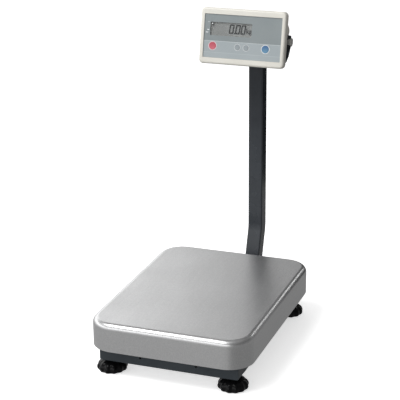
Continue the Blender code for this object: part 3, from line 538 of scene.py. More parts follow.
def threaded(name, place, direction, radius, pitch, length):
    """A stud: a core with a ridge wound round it, closed at both ends."""
    core = rod(name, place, direction, radius - pitch * 0.5, length)
    soften(core, 0.0004)
    turns = int(length / pitch) - 1
    crest = pitch * 0.52
    bpy.ops.mesh.primitive_circle_add(vertices=3, radius=crest, location=(radius - crest, 0, 0),
                                      rotation=(math.pi / 2, 0, 0))
    ridge = bpy.context.object
    bpy.ops.object.transform_apply()
    pick(ridge, "VERT", lambda spot: True)
    bpy.ops.transform.rotate(value=-math.pi / 2, orient_axis="Y", center_override=(radius - crest, 0, 0))
    done()
    apply(ridge, "SCREW", steps=20, render_steps=20, iterations=turns, screw_offset=pitch, axis="Z",
          use_merge_vertices=False)
    pick(ridge, "EDGE", lambda a, b: False)
    bpy.ops.mesh.select_non_manifold(extend=False)
    bpy.ops.mesh.edge_face_add()
    bpy.ops.mesh.select_all(action="SELECT")
    bpy.ops.mesh.normals_make_consistent(inside=False)
    done()
    way = Vector(direction).normalized()
    ridge.rotation_euler = way.to_track_quat("Z", "Y").to_euler()
    ridge.location = Vector(place) - way * turns * pitch / 2
    bpy.ops.object.transform_apply()
    return joined(core, ridge)


def lobe_quarter(place):
    """Which quarter of the way from one lobe to the next a point lies at."""
    return round(math.atan2(place.x, -place.y) / (2 * math.pi) * FOOT_LOBES * 4) % 4


bpy.ops.mesh.primitive_circle_add(vertices=FOOT_LOBES * 4, radius=FOOT_PROFILE[0][1], fill_type="NGON")
knob = only(bpy.context.object)
pick(knob, "FACE", lambda place, normal: True)
before = FOOT_PROFILE[0]
for step in FOOT_PROFILE[1:]:
    extrude((0, 0, step[0] - before[0]))
    bpy.ops.transform.resize(value=(step[1] / before[1], step[1] / before[1], 1),
                             center_override=(0, 0, step[0]))
    before = step
bpy.ops.mesh.inset(thickness=0.004)
bpy.ops.mesh.inset(thickness=0.004)
done()
for height, radius, depth in FOOT_PROFILE:
    for share, quarters in ((1.0, (2,)), (0.5, (1, 3))):
        pick(knob, "VERT", lambda place: abs(place.z - height) < 1e-5
             and math.hypot(place.x, place.y) > radius - 1e-4 and lobe_quarter(place) in quarters)
        narrower = (radius - depth * share) / radius
        bpy.ops.transform.resize(value=(narrower, narrower, 1), center_override=(0, 0, height))
        done()
face_out(knob)
apply(knob, "SUBSURF", levels=2, render_levels=2)
reach = max(math.hypot(vertex.co.x, vertex.co.y) for vertex in knob.data.vertices)
pick(knob, "VERT", lambda place: True)
bpy.ops.transform.resize(value=(FOOT_RADIUS / reach, FOOT_RADIUS / reach, 1), center_override=(0, 0, 0))
done()

for ending in ("front_left", "front_right", "rear_left", "rear_right"):
    middle = middle_of("foot_knob_" + ending)
    copy = knob.copy()
    copy.data = knob.data.copy()
    copy.name = copy.data.name = "foot_knob_" + ending + "_scalloped"
    bpy.context.scene.collection.objects.link(copy)
    copy.location = (middle.x, middle.y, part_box("foot_knob_" + ending)[0].z)
    settle(copy, glossy_black, "foot_knob_" + ending, "foot_plastic", "foot_knob_" + ending, smooth=60)
    low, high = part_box("foot_stud_" + ending)
    stud = threaded("foot_stud_" + ending + "_thread", (low + high) / 2, (0, 0, 1), 0.005, THREAD_PITCH,
                    high.z - low.z)
    settle(stud, zinc, "foot_stud_" + ending, "zinc_steel", "foot_stud_" + ending)
bpy.data.objects.remove(knob)

# ======================================================================== mast bracket and level
# A channel folded from 3 mm steel, bolted up under the rear rail by its tongue. Its cheeks rise where
# they grip the mast's foot; a round spirit level in a black cup stands on its floor.

BRACKET_SHEET = 0.0030
CHEEK_LOW = 0.0560
CHEEK_HIGH = 0.0680
M6_HOLE = 0.0033
pan_middle = (pan_low.y + pan_high.y) / 2

mast_paint = finish("charcoal_powder_coat", peel, (0.030, 0.034, 0.040), (0.040, 0.045, 0.052), (0.19, 0.30),
                    ("Height", 0.12, 0.0001), (0.35, 0.65), rubbed=(0.0006, 160.0, 0.7, (0.10, 0.10, 0.10)),
                    specular=0.25, Fineness=1400.0)
low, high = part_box("mast_bracket")
start, rise, full = pan_middle + 0.2465, pan_middle + 0.3300, pan_middle + 0.3520
bracket = folded("mast_bracket_channel", (low.x, start, low.z), high,
                 ((0, 0, 1), (0, 1, 0), (0, -1, 0)), 0.004)
thicken(bracket, BRACKET_SHEET)
step = block("step", (low.x - 0.01, start - 0.01, CHEEK_LOW), (high.x + 0.01, rise, CHEEK_HIGH + 0.01))
pick(step, "VERT", lambda place: place.y > rise - 1e-5 and place.z > CHEEK_LOW + 1e-5)
lean_back = (full - rise) * (CHEEK_HIGH + 0.01 - CHEEK_LOW) / (CHEEK_HIGH - CHEEK_LOW)
bpy.ops.transform.translate(value=(0, lean_back, 0))
done()
cut(bracket, step)
round_edges(bracket, 0.007, 5,
            lambda a, b: min(a.y, b.y) > high.y - 1e-5 and min(a.z, b.z) > CHEEK_HIGH - 1e-5)
tongue = block("tongue", low, (high.x, start + 0.002, low.z + BRACKET_SHEET))
round_edges(tongue, 0.006, 5, lambda a, b: abs(a.z - b.z) > 0.002 and min(a.y, b.y) < low.y + 1e-5)
cut(bracket, tongue, "UNION")
for node in ("bracket_bolt_left", "bracket_bolt_right"):
    x, y = middle_of(node).xy
    drill(bracket, (x, y, low.z), (0, 0, 1), M6_HOLE, 0.02)
    bolt = hex_bolt(node + "_hex", (x, y, low.z - 0.0003), (0, 0, 1), 0.003,
                    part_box(node)[1].z - low.z + 0.0003, 0.0058, 0.004)
    settle(bolt, zinc, "base", "zinc_steel", node)
bolt_half = high.x + 0.0003
for node in ("mast_bolt_lower", "mast_bolt_upper"):
    y, z = middle_of(node).yz
    drill(bracket, (0, y, z), (1, 0, 0), M6_HOLE, 0.08)
    bolt = hex_bolt(node + "_hex", (-bolt_half, y, z), (1, 0, 0), 0.003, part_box(node)[1].x + bolt_half,
                    0.0058, 0.004, nut_at=2 * bolt_half + 0.0022)
    settle(bolt, zinc, "base", "zinc_steel", node)
soften(bracket, 0.0004)
settle(bracket, mast_paint, "base", "mast_paint", "mast_bracket")

satin_black = finish("satin_black_plastic", peel, (0.013, 0.013, 0.014), (0.022, 0.022, 0.023), (0.36, 0.46),
                     ("Height", 0.10, 0.00008), Fineness=1600.0)

low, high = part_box("level_holder")
middle = (low + high) / 2
cup = rod("level_cup", middle, (0, 0, 1), 0.0140, high.z - low.z, vertices=64)
pick(cup, "FACE", lambda place, normal: normal.z > 0.9)
bpy.ops.mesh.inset(thickness=0.0042)
extrude((0, 0, -0.0090))
done()
soften(cup, 0.0006, segments=3)
settle(cup, satin_black, "base", "black_plastic", "level_holder")

vial_glass, tree, shader = new_look("level_vial_liquid")
tinted = use(tree, grain, Fineness=60.0, Cloud_size=120.0)
tone = mixed(tree, tinted["Cloud"], (0.52, 0.80, 0.22), (0.62, 0.88, 0.30))
tree.links.new(tone, shader.inputs["Base Color"])
shader.inputs["Transmission Weight"].default_value = 0.8
shader.inputs["Roughness"].default_value = 0.05
low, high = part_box("level_vial")
vial = rod("level_vial_glass", (low + high) / 2, (0, 0, 1), 0.0094, high.z - low.z, vertices=64)
round_edges(vial, 0.0009, 4, lambda a, b: min(a.z, b.z) > high.z - 1e-5)
settle(vial, vial_glass, "base", "vial_glass", "level_vial")
bpy.ops.mesh.primitive_torus_add(location=(middle.x, middle.y, high.z - 0.00002), major_radius=0.0040,
                                 minor_radius=0.00022, major_segments=64, minor_segments=8)
mark = only(bpy.context.object)
mark.name = "level_vial_ring"
pick(mark, "VERT", lambda place: True)
bpy.ops.transform.resize(value=(1, 1, 0.3), center_override=(middle.x, middle.y, high.z))
done()
settle(mark, satin_black, "base", "black_plastic")

# ======================================================================== mast
# Square steel tube, 38 x 38 x 2 mm, bent once just above the bracket and powder coated charcoal.
# It is bolted through the bracket's cheeks, and the load cell's cable runs up inside it.

MAST_SIZE = 0.038
MAST_WALL = 0.002
MAST_CORNER = 0.004
MAST_LEAN = math.radians(19.0)
BEND_RADIUS = 0.080
BEND_HEIGHT = 0.150

low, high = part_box("mast")
mast_y = high.y - MAST_SIZE / 2
bend_start = BEND_HEIGHT + BEND_RADIUS * math.tan(MAST_LEAN / 2)
lean = Vector((0, math.sin(MAST_LEAN), math.cos(MAST_LEAN)))
foot_run = (BEND_HEIGHT - 0.037) / math.cos(MAST_LEAN) - BEND_RADIUS * math.tan(MAST_LEAN / 2)
bpy.ops.mesh.primitive_plane_add(size=MAST_SIZE, location=(0, mast_y, high.z))
mast = bpy.context.object
mast.name = mast.data.name = "mast_tube"
bpy.ops.object.transform_apply()
pick(mast, "VERT", lambda place: True)
bpy.ops.mesh.bevel(offset=MAST_CORNER, segments=6, affect="VERTICES")
bpy.ops.mesh.select_all(action="SELECT")
bpy.ops.mesh.delete(type="ONLY_FACE")
bpy.ops.mesh.select_all(action="SELECT")
extrude((0, 0, bend_start - high.z))
bpy.ops.mesh.spin(steps=16, angle=MAST_LEAN, center=(0, mast_y - BEND_RADIUS, bend_start), axis=(1, 0, 0))
extrude(-lean * foot_run)
bpy.ops.mesh.select_all(action="SELECT")
bpy.ops.mesh.normals_make_consistent(inside=False)
done()
thicken(mast, MAST_WALL)
for node in ("mast_bolt_lower", "mast_bolt_upper"):
    drill(mast, (0, *middle_of(node).yz), (1, 0, 0), M6_HOLE, 0.08)
soften(mast, 0.0003)
settle(mast, mast_paint, "base", "mast_paint", "mast", smooth=30)

# ======================================================================== head block and display bracket
# A cap of 3 mm steel slides over the mast's top, with a gusset welded to its front. The display bracket,
# a strap folded into a yoke, is screwed to the gusset's slanting face. Both are powder coated.

DISPLAY_TILT = math.radians(11.7)
YOKE_ANGLE = math.radians(-40)
YOKE_INNER = 0.0310
YOKE_OUTER = 0.0340
YOKE_HALF = 0.0130
ARM_OUTLINE = ((0.0344, -0.0119), (0.0330, 0.0020), (0.0305, 0.0110), (0.0265, 0.0160),
               (0.0215, 0.0187), (0.0150, 0.0195), (0.0080, 0.0185), (0.0010, 0.0155),
               (-0.0055, 0.0105), (-0.0090, 0.0050), (-0.0100, -0.0020), (-0.0100, -0.0300),
               (-0.0085, -0.0375), (-0.0040, -0.0410), (0.0020, -0.0405), (0.0080, -0.0380),
               (0.0176, -0.0319))                         # (y, z) from the tilt axis

pivot = Vector([joint for joint in frame["joints"] if joint["name"] == "display_tilt"][0]["pos_m"])
yoke_out = Vector((0, math.cos(YOKE_ANGLE), math.sin(YOKE_ANGLE)))
yoke_up = Vector((0, -math.sin(YOKE_ANGLE), math.cos(YOKE_ANGLE)))


def sliced(piece, place, normal):
    """Cut away what lies beyond a plane and close the cut."""
    pick(piece, "VERT", lambda spot: True)
    bpy.ops.mesh.bisect(plane_co=place, plane_no=normal, use_fill=True, clear_outer=True)
    done()


low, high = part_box("head_block")
sleeve_front = mast_y - high.x
sleeve = block("head_block_cap", (low.x, sleeve_front, low.z), high)
round_edges(sleeve, 0.005, 5, lambda a, b: abs(a.z - b.z) > 0.01)
opened(sleeve, lambda middle, normal: normal.z < -0.9)
thicken(sleeve, 0.0032)
seat = pivot + yoke_out * (YOKE_OUTER + 0.0003)
root = Vector((0, sleeve_front + 0.0015, pivot.z - 0.0105))
gusset = block("gusset", (-0.020, low.y, low.z), (0.020, root.y, pivot.z - 0.008))
sliced(gusset, seat, -yoke_out)
corner = seat + yoke_up * 0.012
along_top = root - corner
sliced(gusset, corner, (0, -along_top.z, along_top.y))
corner = seat - yoke_up * 0.012
along_foot = Vector((0, root.y - 0.018, pivot.z - 0.045)) - corner
sliced(gusset, corner, (0, along_foot.z, -along_foot.y))
sliced(gusset, (0, 0, pivot.z - 0.045), (0, 0, -1))
cut(sleeve, gusset, "UNION")

strap = block("display_bracket_yoke", (-0.1013, pivot.y + YOKE_INNER, pivot.z - YOKE_HALF),
              (0.1013, pivot.y + YOKE_OUTER, pivot.z + YOKE_HALF))
pick(strap, "VERT", lambda place: True)
bpy.ops.transform.rotate(value=-YOKE_ANGLE, orient_axis="X", center_override=pivot)
done()
for x_low, x_high in ((-0.1033, -0.1003), (0.1003, 0.1033)):
    arm = block("arm", pivot + Vector((x_low, -0.02, -0.05)), pivot + Vector((x_high, 0.05, 0.04)))
    arm.location.x = 0
    for first, second in zip(ARM_OUTLINE, ARM_OUTLINE[1:] + ARM_OUTLINE[:1]):
        side = Vector((0, second[0] - first[0], second[1] - first[1]))
        sliced(arm, pivot + Vector((0, first[0], first[1])), (0, side.z, -side.y))
    cut(strap, arm, "UNION")
drill(strap, pivot, (1, 0, 0), 0.0045, 0.3)
for node in ("display_bracket_screw_left", "display_bracket_screw_right"):
    face = pivot + yoke_out * (YOKE_INNER - 0.0003)
    face.x = middle_of(node).x
    for piece in (strap, sleeve):
        drill(piece, face, yoke_out, 0.0028, 0.036)
    screw = hex_bolt(node + "_hex", face, yoke_out, 0.0025, 0.0150, 0.0042, 0.003)
    settle(screw, zinc, "base", "zinc_steel", node)
soften(strap, 0.0006)
settle(strap, mast_paint, "base", "mast_paint", "display_bracket")
soften(sleeve, 0.0006)
settle(sleeve, mast_paint, "base", "mast_paint", "head_block")

# ======================================================================== display housing
# Two shells moulded in warm off-white ABS with a fine spark texture, held together by four screws from
# behind. The front one's rim stands round the overlay; the rear one is hollowed round the yoke.

PIVOT_DEPTH = 0.045
PIVOT_RISE = -0.004
HOUSING_X = 0.110
HOUSING_Z = 0.0694
FRONT_ROUND = 0.0055
RIM_DEPTH = -0.0020
SEAT_DEPTH = 0.0009
FRONT_BACK = 0.0165
SHELL = 0.0025
REAR_HALF = 0.0985
DRUM_RADIUS = 0.0265
DRUM_START = math.radians(-66)
DRUM_END = math.radians(33)
REAR_FLOOR = ((-0.0260, -0.0580), (0.0010, -0.0482), (0.0080, -0.0450), (0.0110, -0.0415))
REAR_CROWN = ((0.0290, 0.0240), (0.0280, 0.0305), (0.0230, 0.0355), (0.0140, 0.0410),
              (0.0040, 0.0458), (-0.0260, 0.0660))        # (y, z) from the tilt axis
WINDOW = (-0.0307, 0.0178, 0.1075, 0.0330)                # middle x, middle z, width, height
KEY_ROW = -0.0245
KEYS = (("red_key", -0.0761, 0.0093), ("left_grey_key", -0.0114, 0.0072),
        ("right_grey_key", 0.0111, 0.0072), ("blue_key", 0.0610, 0.0093))
SOCKET_X = 0.030
JACK_RADIUS = 0.0055
GLAND_RADIUS = 0.0070
SOCKET_PLACE = (0.0330, -0.0569)                          # depth and z on the rear shell's lower slope
SOCKET_AXIS = (0, 0.341, -0.940)


def head_point(x, depth, z):
    """Place in the upright head: depth behind the overlay's face, z above its middle."""
    return Vector((x, depth - PIVOT_DEPTH, z - PIVOT_RISE))


def leaned(piece, look, body, slot, *nodes, smooth=38):
    """Lean a piece that was modelled upright about the tilt axis, and settle it."""
    piece.location = pivot
    piece.rotation_euler.x = -DISPLAY_TILT
    return settle(piece, look, body, slot, *nodes, smooth=smooth)


def window_block(depth_low, depth_high, margin):
    x, z, width, height = WINDOW
    return block("window", head_point(x - width / 2 - margin, depth_low, z - height / 2 - margin),
                 head_point(x + width / 2 + margin, depth_high, z + height / 2 + margin))


# Head place: object coordinates turned back upright, with the tilt axis as their origin.
head_place, given, out = effect("head place", (), (("Place", "Vector"), ("Across", "Float"),
                                                   ("Rise", "Float")))
spot = put(head_place, "ShaderNodeTexCoord").outputs["Object"]
upright = put(head_place, "ShaderNodeMapping", {"Vector": spot, "Location": pivot,
                                                "Rotation": (-DISPLAY_TILT, 0, 0)}, vector_type="TEXTURE")
parts = put(head_place, "ShaderNodeSeparateXYZ", {"Vector": upright.outputs[0]})
head_place.links.new(upright.outputs[0], out["Place"])
head_place.links.new(parts.outputs["X"], out["Across"])
head_place.links.new(parts.outputs["Z"], out["Rise"])

abs_shell = finish("warm_white_abs", peel, (0.60, 0.585, 0.53), (0.66, 0.645, 0.59), (0.38, 0.50),
                   ("Height", 0.12, 0.00008), (0.3, 0.7), rubbed=(0.0010, 70.0, 0.5, (0.74, 0.73, 0.69)),
                   Fineness=1500.0)

front = block("front_shell", head_point(-HOUSING_X, RIM_DEPTH, -HOUSING_Z),
              head_point(HOUSING_X, FRONT_BACK, HOUSING_Z))
opened(front, lambda middle, normal: normal.y > 0.9)
round_edges(front, 0.0105, 10, lambda a, b: abs(a.y - b.y) > 0.01)
rim_middle = head_point(0, RIM_DEPTH, 0)
round_edges(front, FRONT_ROUND, 8, lambda a, b: max(a.y, b.y) < rim_middle.y + 1e-5)
lip = HOUSING_X - FRONT_ROUND - 0.1003
pick(front, "FACE", lambda middle, normal: normal.y < -0.99 and middle.y < rim_middle.y + 1e-5)
bpy.ops.mesh.inset(thickness=lip)
bpy.ops.transform.resize(value=(1, 1, 0.0538 / (HOUSING_Z - FRONT_ROUND - lip)), center_override=rim_middle)
extrude((0, SEAT_DEPTH - RIM_DEPTH, 0))
done()
thicken(front, SHELL)
cut(front, window_block(-0.01, 0.01, 0.0003))
for name, x, radius in KEYS:
    drill(front, head_point(x, 0.002, KEY_ROW), (0, 1, 0), radius + 0.0003, 0.02, vertices=48)
soften(front, 0.0003)
leaned(front, abs_shell, "display", "housing_plastic", "front_housing")

# The rear shell's back is swept from a strip along its side outline; the drum is spun about the tilt axis.
first, second = REAR_FLOOR[:2]
bpy.ops.mesh.primitive_plane_add(size=2 * REAR_HALF, location=(0, 0, 0))
rear = only(bpy.context.object)
rear.name = rear.data.name = "rear_shell"
for side, (y, z) in ((-1, first), (1, second)):
    pick(rear, "VERT", lambda place: place.y * side > REAR_HALF / 2 and abs(place.z) < 1e-6)
    bpy.ops.transform.translate(value=(0, y - side * REAR_HALF, z))
    done()
pick(rear, "EDGE", lambda a, b: abs(a.x - b.x) > 0.1 and a.y > first[0] + 1e-4 and b.y > first[0] + 1e-4)
drum_from = (DRUM_RADIUS * math.cos(DRUM_START), DRUM_RADIUS * math.sin(DRUM_START))
drum_to = (DRUM_RADIUS * math.cos(DRUM_END), DRUM_RADIUS * math.sin(DRUM_END))
here = second
for there in REAR_FLOOR[2:] + (drum_from,):
    extrude((0, there[0] - here[0], there[1] - here[1]))
    here = there
bpy.ops.mesh.spin(steps=20, angle=DRUM_START - DRUM_END, center=(0, 0, 0), axis=(1, 0, 0))
here = drum_to
for there in REAR_CROWN:
    extrude((0, there[0] - here[0], there[1] - here[1]))
    here = there
done()
pick(rear, "EDGE", lambda a, b: min(a.x, b.x) > REAR_HALF - 1e-5)
bpy.ops.mesh.edge_face_add()
done()
pick(rear, "EDGE", lambda a, b: max(a.x, b.x) < -REAR_HALF + 1e-5)
bpy.ops.mesh.edge_face_add()
done()
pick(rear, "EDGE", lambda a, b: max(a.y, b.y) < -0.0259 and (abs(a.x - b.x) > 0.1 or abs(a.z - b.z) > 0.1))
bpy.ops.mesh.edge_face_add()
bpy.ops.mesh.select_all(action="SELECT")
bpy.ops.mesh.normals_make_consistent(inside=False)
done()
round_edges(rear, 0.0016, 3, lambda a, b: min(abs(a.x), abs(b.x)) > REAR_HALF - 1e-5 and abs(a.x - b.x) < 1e-5
     and max(a.y, b.y) > -0.0259)
flange = block("flange", head_point(-HOUSING_X + 0.001, FRONT_BACK + 0.0003, -HOUSING_Z + 0.001),
               head_point(HOUSING_X - 0.001, FRONT_BACK + 0.0030, HOUSING_Z - 0.001))
round_edges(flange, 0.0095, 10, lambda a, b: abs(a.y - b.y) > 0.001)
cut(rear, flange, "UNION")
mouth = head_point(0, FRONT_BACK + 0.0003, 0).y
sliced(rear, (0, mouth, 0), (0, -1, 0))
opened(rear, lambda middle, normal: middle.y < mouth + 1e-4 and normal.y < -0.9)
thicken(rear, SHELL)
for x, radius in ((-SOCKET_X, JACK_RADIUS), (SOCKET_X, GLAND_RADIUS)):
    drill(rear, head_point(x, *SOCKET_PLACE), SOCKET_AXIS, radius + 0.0003, 0.016, vertices=48)
drill(rear, (0, 0, 0), (1, 0, 0), 0.0035, 0.3)
soften(rear, 0.0003)
leaned(rear, abs_shell, "display", "housing_plastic", "rear_housing", smooth=32)

for x in (-0.1030, 0.1030):
    for z in (-0.0600, 0.0600):
        place = head_point(x, FRONT_BACK + 0.0030, z)
        screw = rod("shell_screw", place + Vector((0, 0.0007, 0)), (0, 1, 0), 0.0032, 0.0014, vertices=48)
        round_edges(screw, 0.0007, 4, lambda a, b: min(a.y, b.y) > place.y + 0.0013)
        for width, height in ((0.0034, 0.0007), (0.0007, 0.0034)):
            cut(screw, block("slot", place + Vector((-width / 2, 0.0006, -height / 2)),
                             place + Vector((width / 2, 0.0030, height / 2))))
        leaned(screw, zinc, "display", "zinc_steel")

# The adapter jack and the cable gland are pressed into the rear shell's lower slope.
axis = Vector(SOCKET_AXIS)
jack_place, gland_place = (head_point(x, *SOCKET_PLACE) for x in (-SOCKET_X, SOCKET_X))
jack = rod("adapter_jack_body", jack_place - axis * 0.00425, axis, JACK_RADIUS, 0.0115, vertices=48)
pick(jack, "FACE", lambda place, normal: normal.dot(axis) > 0.9)
bpy.ops.mesh.inset(thickness=JACK_RADIUS / 2)
extrude(-axis * 0.0090)
done()
soften(jack, 0.0003)
pin = rod("pin", jack_place - axis * 0.0045, axis, 0.0010, 0.0080)
soften(pin, 0.0003)
leaned(joined(jack, pin), satin_black, "display", "black_plastic", "adapter_jack")
gland = rod("cable_gland_body", gland_place - axis * 0.0037, axis, GLAND_RADIUS, 0.0086, vertices=48)
nut = hexagon("nut", gland_place + axis * 0.0026, axis, 0.0090, 0.0040)
dome = rod("dome", gland_place + axis * 0.0060, axis, 0.0068, 0.0040, vertices=48)
dome_end = (gland_place + axis * 0.0079).dot(axis)
round_edges(dome, 0.0022, 6, lambda a, b: min(a.dot(axis), b.dot(axis)) > dome_end)
gland = joined(gland, nut, dome)
drill(gland, gland_place + axis * 0.0050, axis, 0.0026, 0.0140, vertices=48)
soften(gland, 0.0003)
leaned(gland, satin_black, "display", "black_plastic", "cable_gland")

# ======================================================================== display face
# A printed polyester overlay stuck into the front shell's recess, in three bands of slate grey, with a
# clear window over a reflective liquid crystal glass and the circuit board behind it.

OVERLAY = (0.200, 0.107)
BAND_LINES = (-0.0125, -0.0405)

overlay_film, tree, shader = new_look("printed_overlay_film")
place = use(tree, head_place)
matt = use(tree, peel, Fineness=2600.0)
upper_line, lower_line = (line - PIVOT_RISE for line in BAND_LINES)
tone = mixed(tree, ranged(tree, place["Rise"], 0.0, 1.0, upper_line - 0.0001, upper_line + 0.0001),
             (0.288, 0.326, 0.342), (0.192, 0.221, 0.228))
tone = mixed(tree, ranged(tree, place["Rise"], 1.0, 0.0, lower_line - 0.0001, lower_line + 0.0001),
             tone, (0.298, 0.337, 0.353))
for line, light, thick in ((upper_line, (0.52, 0.56, 0.57), 0.00035),
                           (lower_line, (0.43, 0.47, 0.48), 0.00025)):
    above = put(tree, "ShaderNodeMath", {0: place["Rise"], 1: line}, operation="SUBTRACT")
    away = put(tree, "ShaderNodeMath", {0: above.outputs[0]}, operation="ABSOLUTE")
    tone = mixed(tree, ranged(tree, away.outputs[0], 1.0, 0.0, thick, thick + 0.0001), tone, light)
tone = mixed(tree, ranged(tree, matt["Cloud"], 0.0, 0.04, 0.3, 0.7), tone, (0.9, 0.9, 0.9))
coated(tree, shader, tone, matt["Cloud"], 0.40, 0.50)
bumped(tree, shader, matt["Height"], 0.06, 0.00003)

overlay = block("overlay_sheet", head_point(-OVERLAY[0] / 2, 0.0, -OVERLAY[1] / 2),
                head_point(OVERLAY[0] / 2, 0.0006, OVERLAY[1] / 2))
round_edges(overlay, 0.003, 6, lambda a, b: abs(a.y - b.y) > 0.0005)
cut(overlay, window_block(-0.005, 0.005, 0.0))
for name, x, radius in KEYS:
    drill(overlay, head_point(x, 0, KEY_ROW), (0, 1, 0), radius + 0.0003, 0.01, vertices=64)
leaned(overlay, overlay_film, "display", "overlay_film", "overlay_panel")

white_ink = finish("white_ink", peel, (0.62, 0.64, 0.65), (0.72, 0.74, 0.75), (0.42, 0.52), Fineness=2600.0)
halo_pink = finish("pale_pink_ink", peel, (0.66, 0.52, 0.54), (0.74, 0.60, 0.62), (0.42, 0.52),
                   Fineness=2600.0)


def printed_ring(name, x, z, inner, outer, look):
    """A ring of ink, printed thick enough to catch the light."""
    ring = rod(name, head_point(x, -0.00005, z), (0, 1, 0), outer, 0.0001, vertices=96)
    drill(ring, head_point(x, 0, z), (0, 1, 0), inner, 0.001, vertices=96)
    soften(ring, 0.00002, segments=1)
    leaned(ring, look, "display", "overlay_film")


for name, x, radius in KEYS:
    large = radius > 0.008
    printed_ring(name + "_ring", x, KEY_ROW, radius + 0.0003, radius + (0.0017 if large else 0.0011),
                 halo_pink if name == "red_key" else white_ink)
for x, z, width, height in ((-0.0897, 0.0145, 0.0052, 0.0022), (-0.0925, 0.0080, 0.0058, 0.0022),
                            (-0.0890, 0.0335, 0.0060, 0.0006)):
    mark = block("overlay_mark", head_point(x - width / 2, -0.0001, z - height / 2),
                 head_point(x + width / 2, 0.0, z + height / 2))
    soften(mark, 0.00003, segments=1)
    leaned(mark, white_ink, "display", "overlay_film")

clear_window, tree, shader = new_look("clear_window")
swirl = use(tree, grain, Fineness=400.0, Cloud_size=30.0)
tone = mixed(tree, swirl["Cloud"], (0.10, 0.11, 0.11), (0.14, 0.15, 0.15))
coated(tree, shader, tone, swirl["Cloud"], 0.05, 0.10)
tree.links.new(ranged(tree, swirl["Cloud"], 0.07, 0.10, 0.3, 0.7), shader.inputs["Alpha"])
pane = window_block(0.0003, 0.0016, -0.0006)
pane.name = pane.data.name = "display_window_pane"
soften(pane, 0.0002)
leaned(pane, clear_window, "display", "window_plastic", "display_window")

lcd_glass, tree, shader = new_look("reflective_lcd")
place = use(tree, head_place)
fine = use(tree, grain, Fineness=3000.0, Cloud_size=20.0)
# Painted shading: the glass is painted darker at its left and lighter towards its right.
tone = mixed(tree, ranged(tree, place["Across"], 0.0, 1.0, -0.085, 0.023),
             (0.250, 0.260, 0.255), (0.285, 0.296, 0.291))
tone = mixed(tree, ranged(tree, fine["Lines"], 0.0, 0.25, 0.3, 0.7), tone, (0.21, 0.22, 0.215))
coated(tree, shader, tone, fine["Cloud"], 0.26, 0.34)
glass = block("lcd_panel", head_point(-0.08845, 0.0037, -0.0027), head_point(0.02705, 0.0086, 0.0383))
soften(glass, 0.0004)
leaned(glass, lcd_glass, "display", "lcd_glass", "lcd_module")

lcd_dark = finish("lcd_segment", grain, (0.010, 0.012, 0.013), (0.018, 0.020, 0.021), (0.30, 0.38),
                  Fineness=3000.0, Cloud_size=20.0)

# Seven-segment digits: one pointed bar, copied and turned, then slanted as a whole.
DIGIT = (0.0124, 0.0232)
BAR = 0.0035
SLANT = math.tan(math.radians(7))
FACE = 0.0036
bar_half = DIGIT[0] / 2 - BAR * 0.1
bar = block("bar", (-bar_half, -0.00004, -BAR / 2), (bar_half, 0.00004, BAR / 2))
round_edges(bar, BAR * 0.45, 1, lambda a, b: abs(a.y - b.y) > 0.00005)
half_digit = DIGIT[1] / 2 - BAR / 2
bars = []
for digit_x in (-0.0299, -0.0137, 0.0003):
    for x, z, upright in ((0, half_digit, False), (0, -half_digit, False),
                          (-1, half_digit / 2, True), (1, half_digit / 2, True),
                          (-1, -half_digit / 2, True), (1, -half_digit / 2, True)):
        copy = bar.copy()
        copy.data = bar.data.copy()
        bpy.context.scene.collection.objects.link(copy)
        offset = x * (DIGIT[0] / 2 - BAR / 2)
        copy.location = head_point(digit_x + offset + SLANT * z, FACE, 0.0189 + z)
        if upright:
            copy.rotation_euler.y = math.pi / 2 + math.atan(SLANT)
        bars.append(copy)
point = rod("point", head_point(-0.0222, FACE, 0.0189 - DIGIT[1] / 2 + 0.0017), (0, 1, 0), 0.0017, 0.00008)
bpy.data.objects.remove(bar)
digits = joined(bars[0], *bars[1:], point)
digits.name = digits.data.name = "lcd_digits"
bpy.ops.object.transform_apply()
leaned(digits, lcd_dark, "display", "lcd_glass")

bpy.ops.object.text_add(location=(0, 0, 0), rotation=(math.pi / 2, 0, 0))
unit = only(bpy.context.object)
unit.data.body = "kg"
unit.data.size = 0.0168
unit.data.extrude = 0.00004
unit.data.offset = 0.0004
unit.data.align_x = "LEFT"
bpy.ops.object.convert(target="MESH")
unit.name = unit.data.name = "lcd_unit"
bpy.ops.object.transform_apply()
pick(unit, "VERT", lambda place: True)
bpy.ops.mesh.remove_doubles(threshold=0.000001)
bpy.ops.mesh.normals_make_consistent(inside=False)
bpy.ops.transform.translate(value=head_point(0.0074, FACE, 0.0108))
done()
leaned(unit, lcd_dark, "display", "lcd_glass")
sign = rod("window_ring", head_point(-0.0797, 0.00024, 0.0301), (0, 1, 0), 0.0037, 0.0001, vertices=64)
drill(sign, head_point(-0.0797, 0, 0.0301), (0, 1, 0), 0.0018, 0.001, vertices=64)
soften(sign, 0.00002, segments=1)
leaned(sign, lcd_dark, "display", "window_plastic")
dot = rod("window_dot", head_point(-0.0797, 0.00024, 0.0301), (0, 1, 0), 0.0018, 0.0001, vertices=48)
soften(dot, 0.00002, segments=1)
leaned(dot, white_ink, "display", "window_plastic")

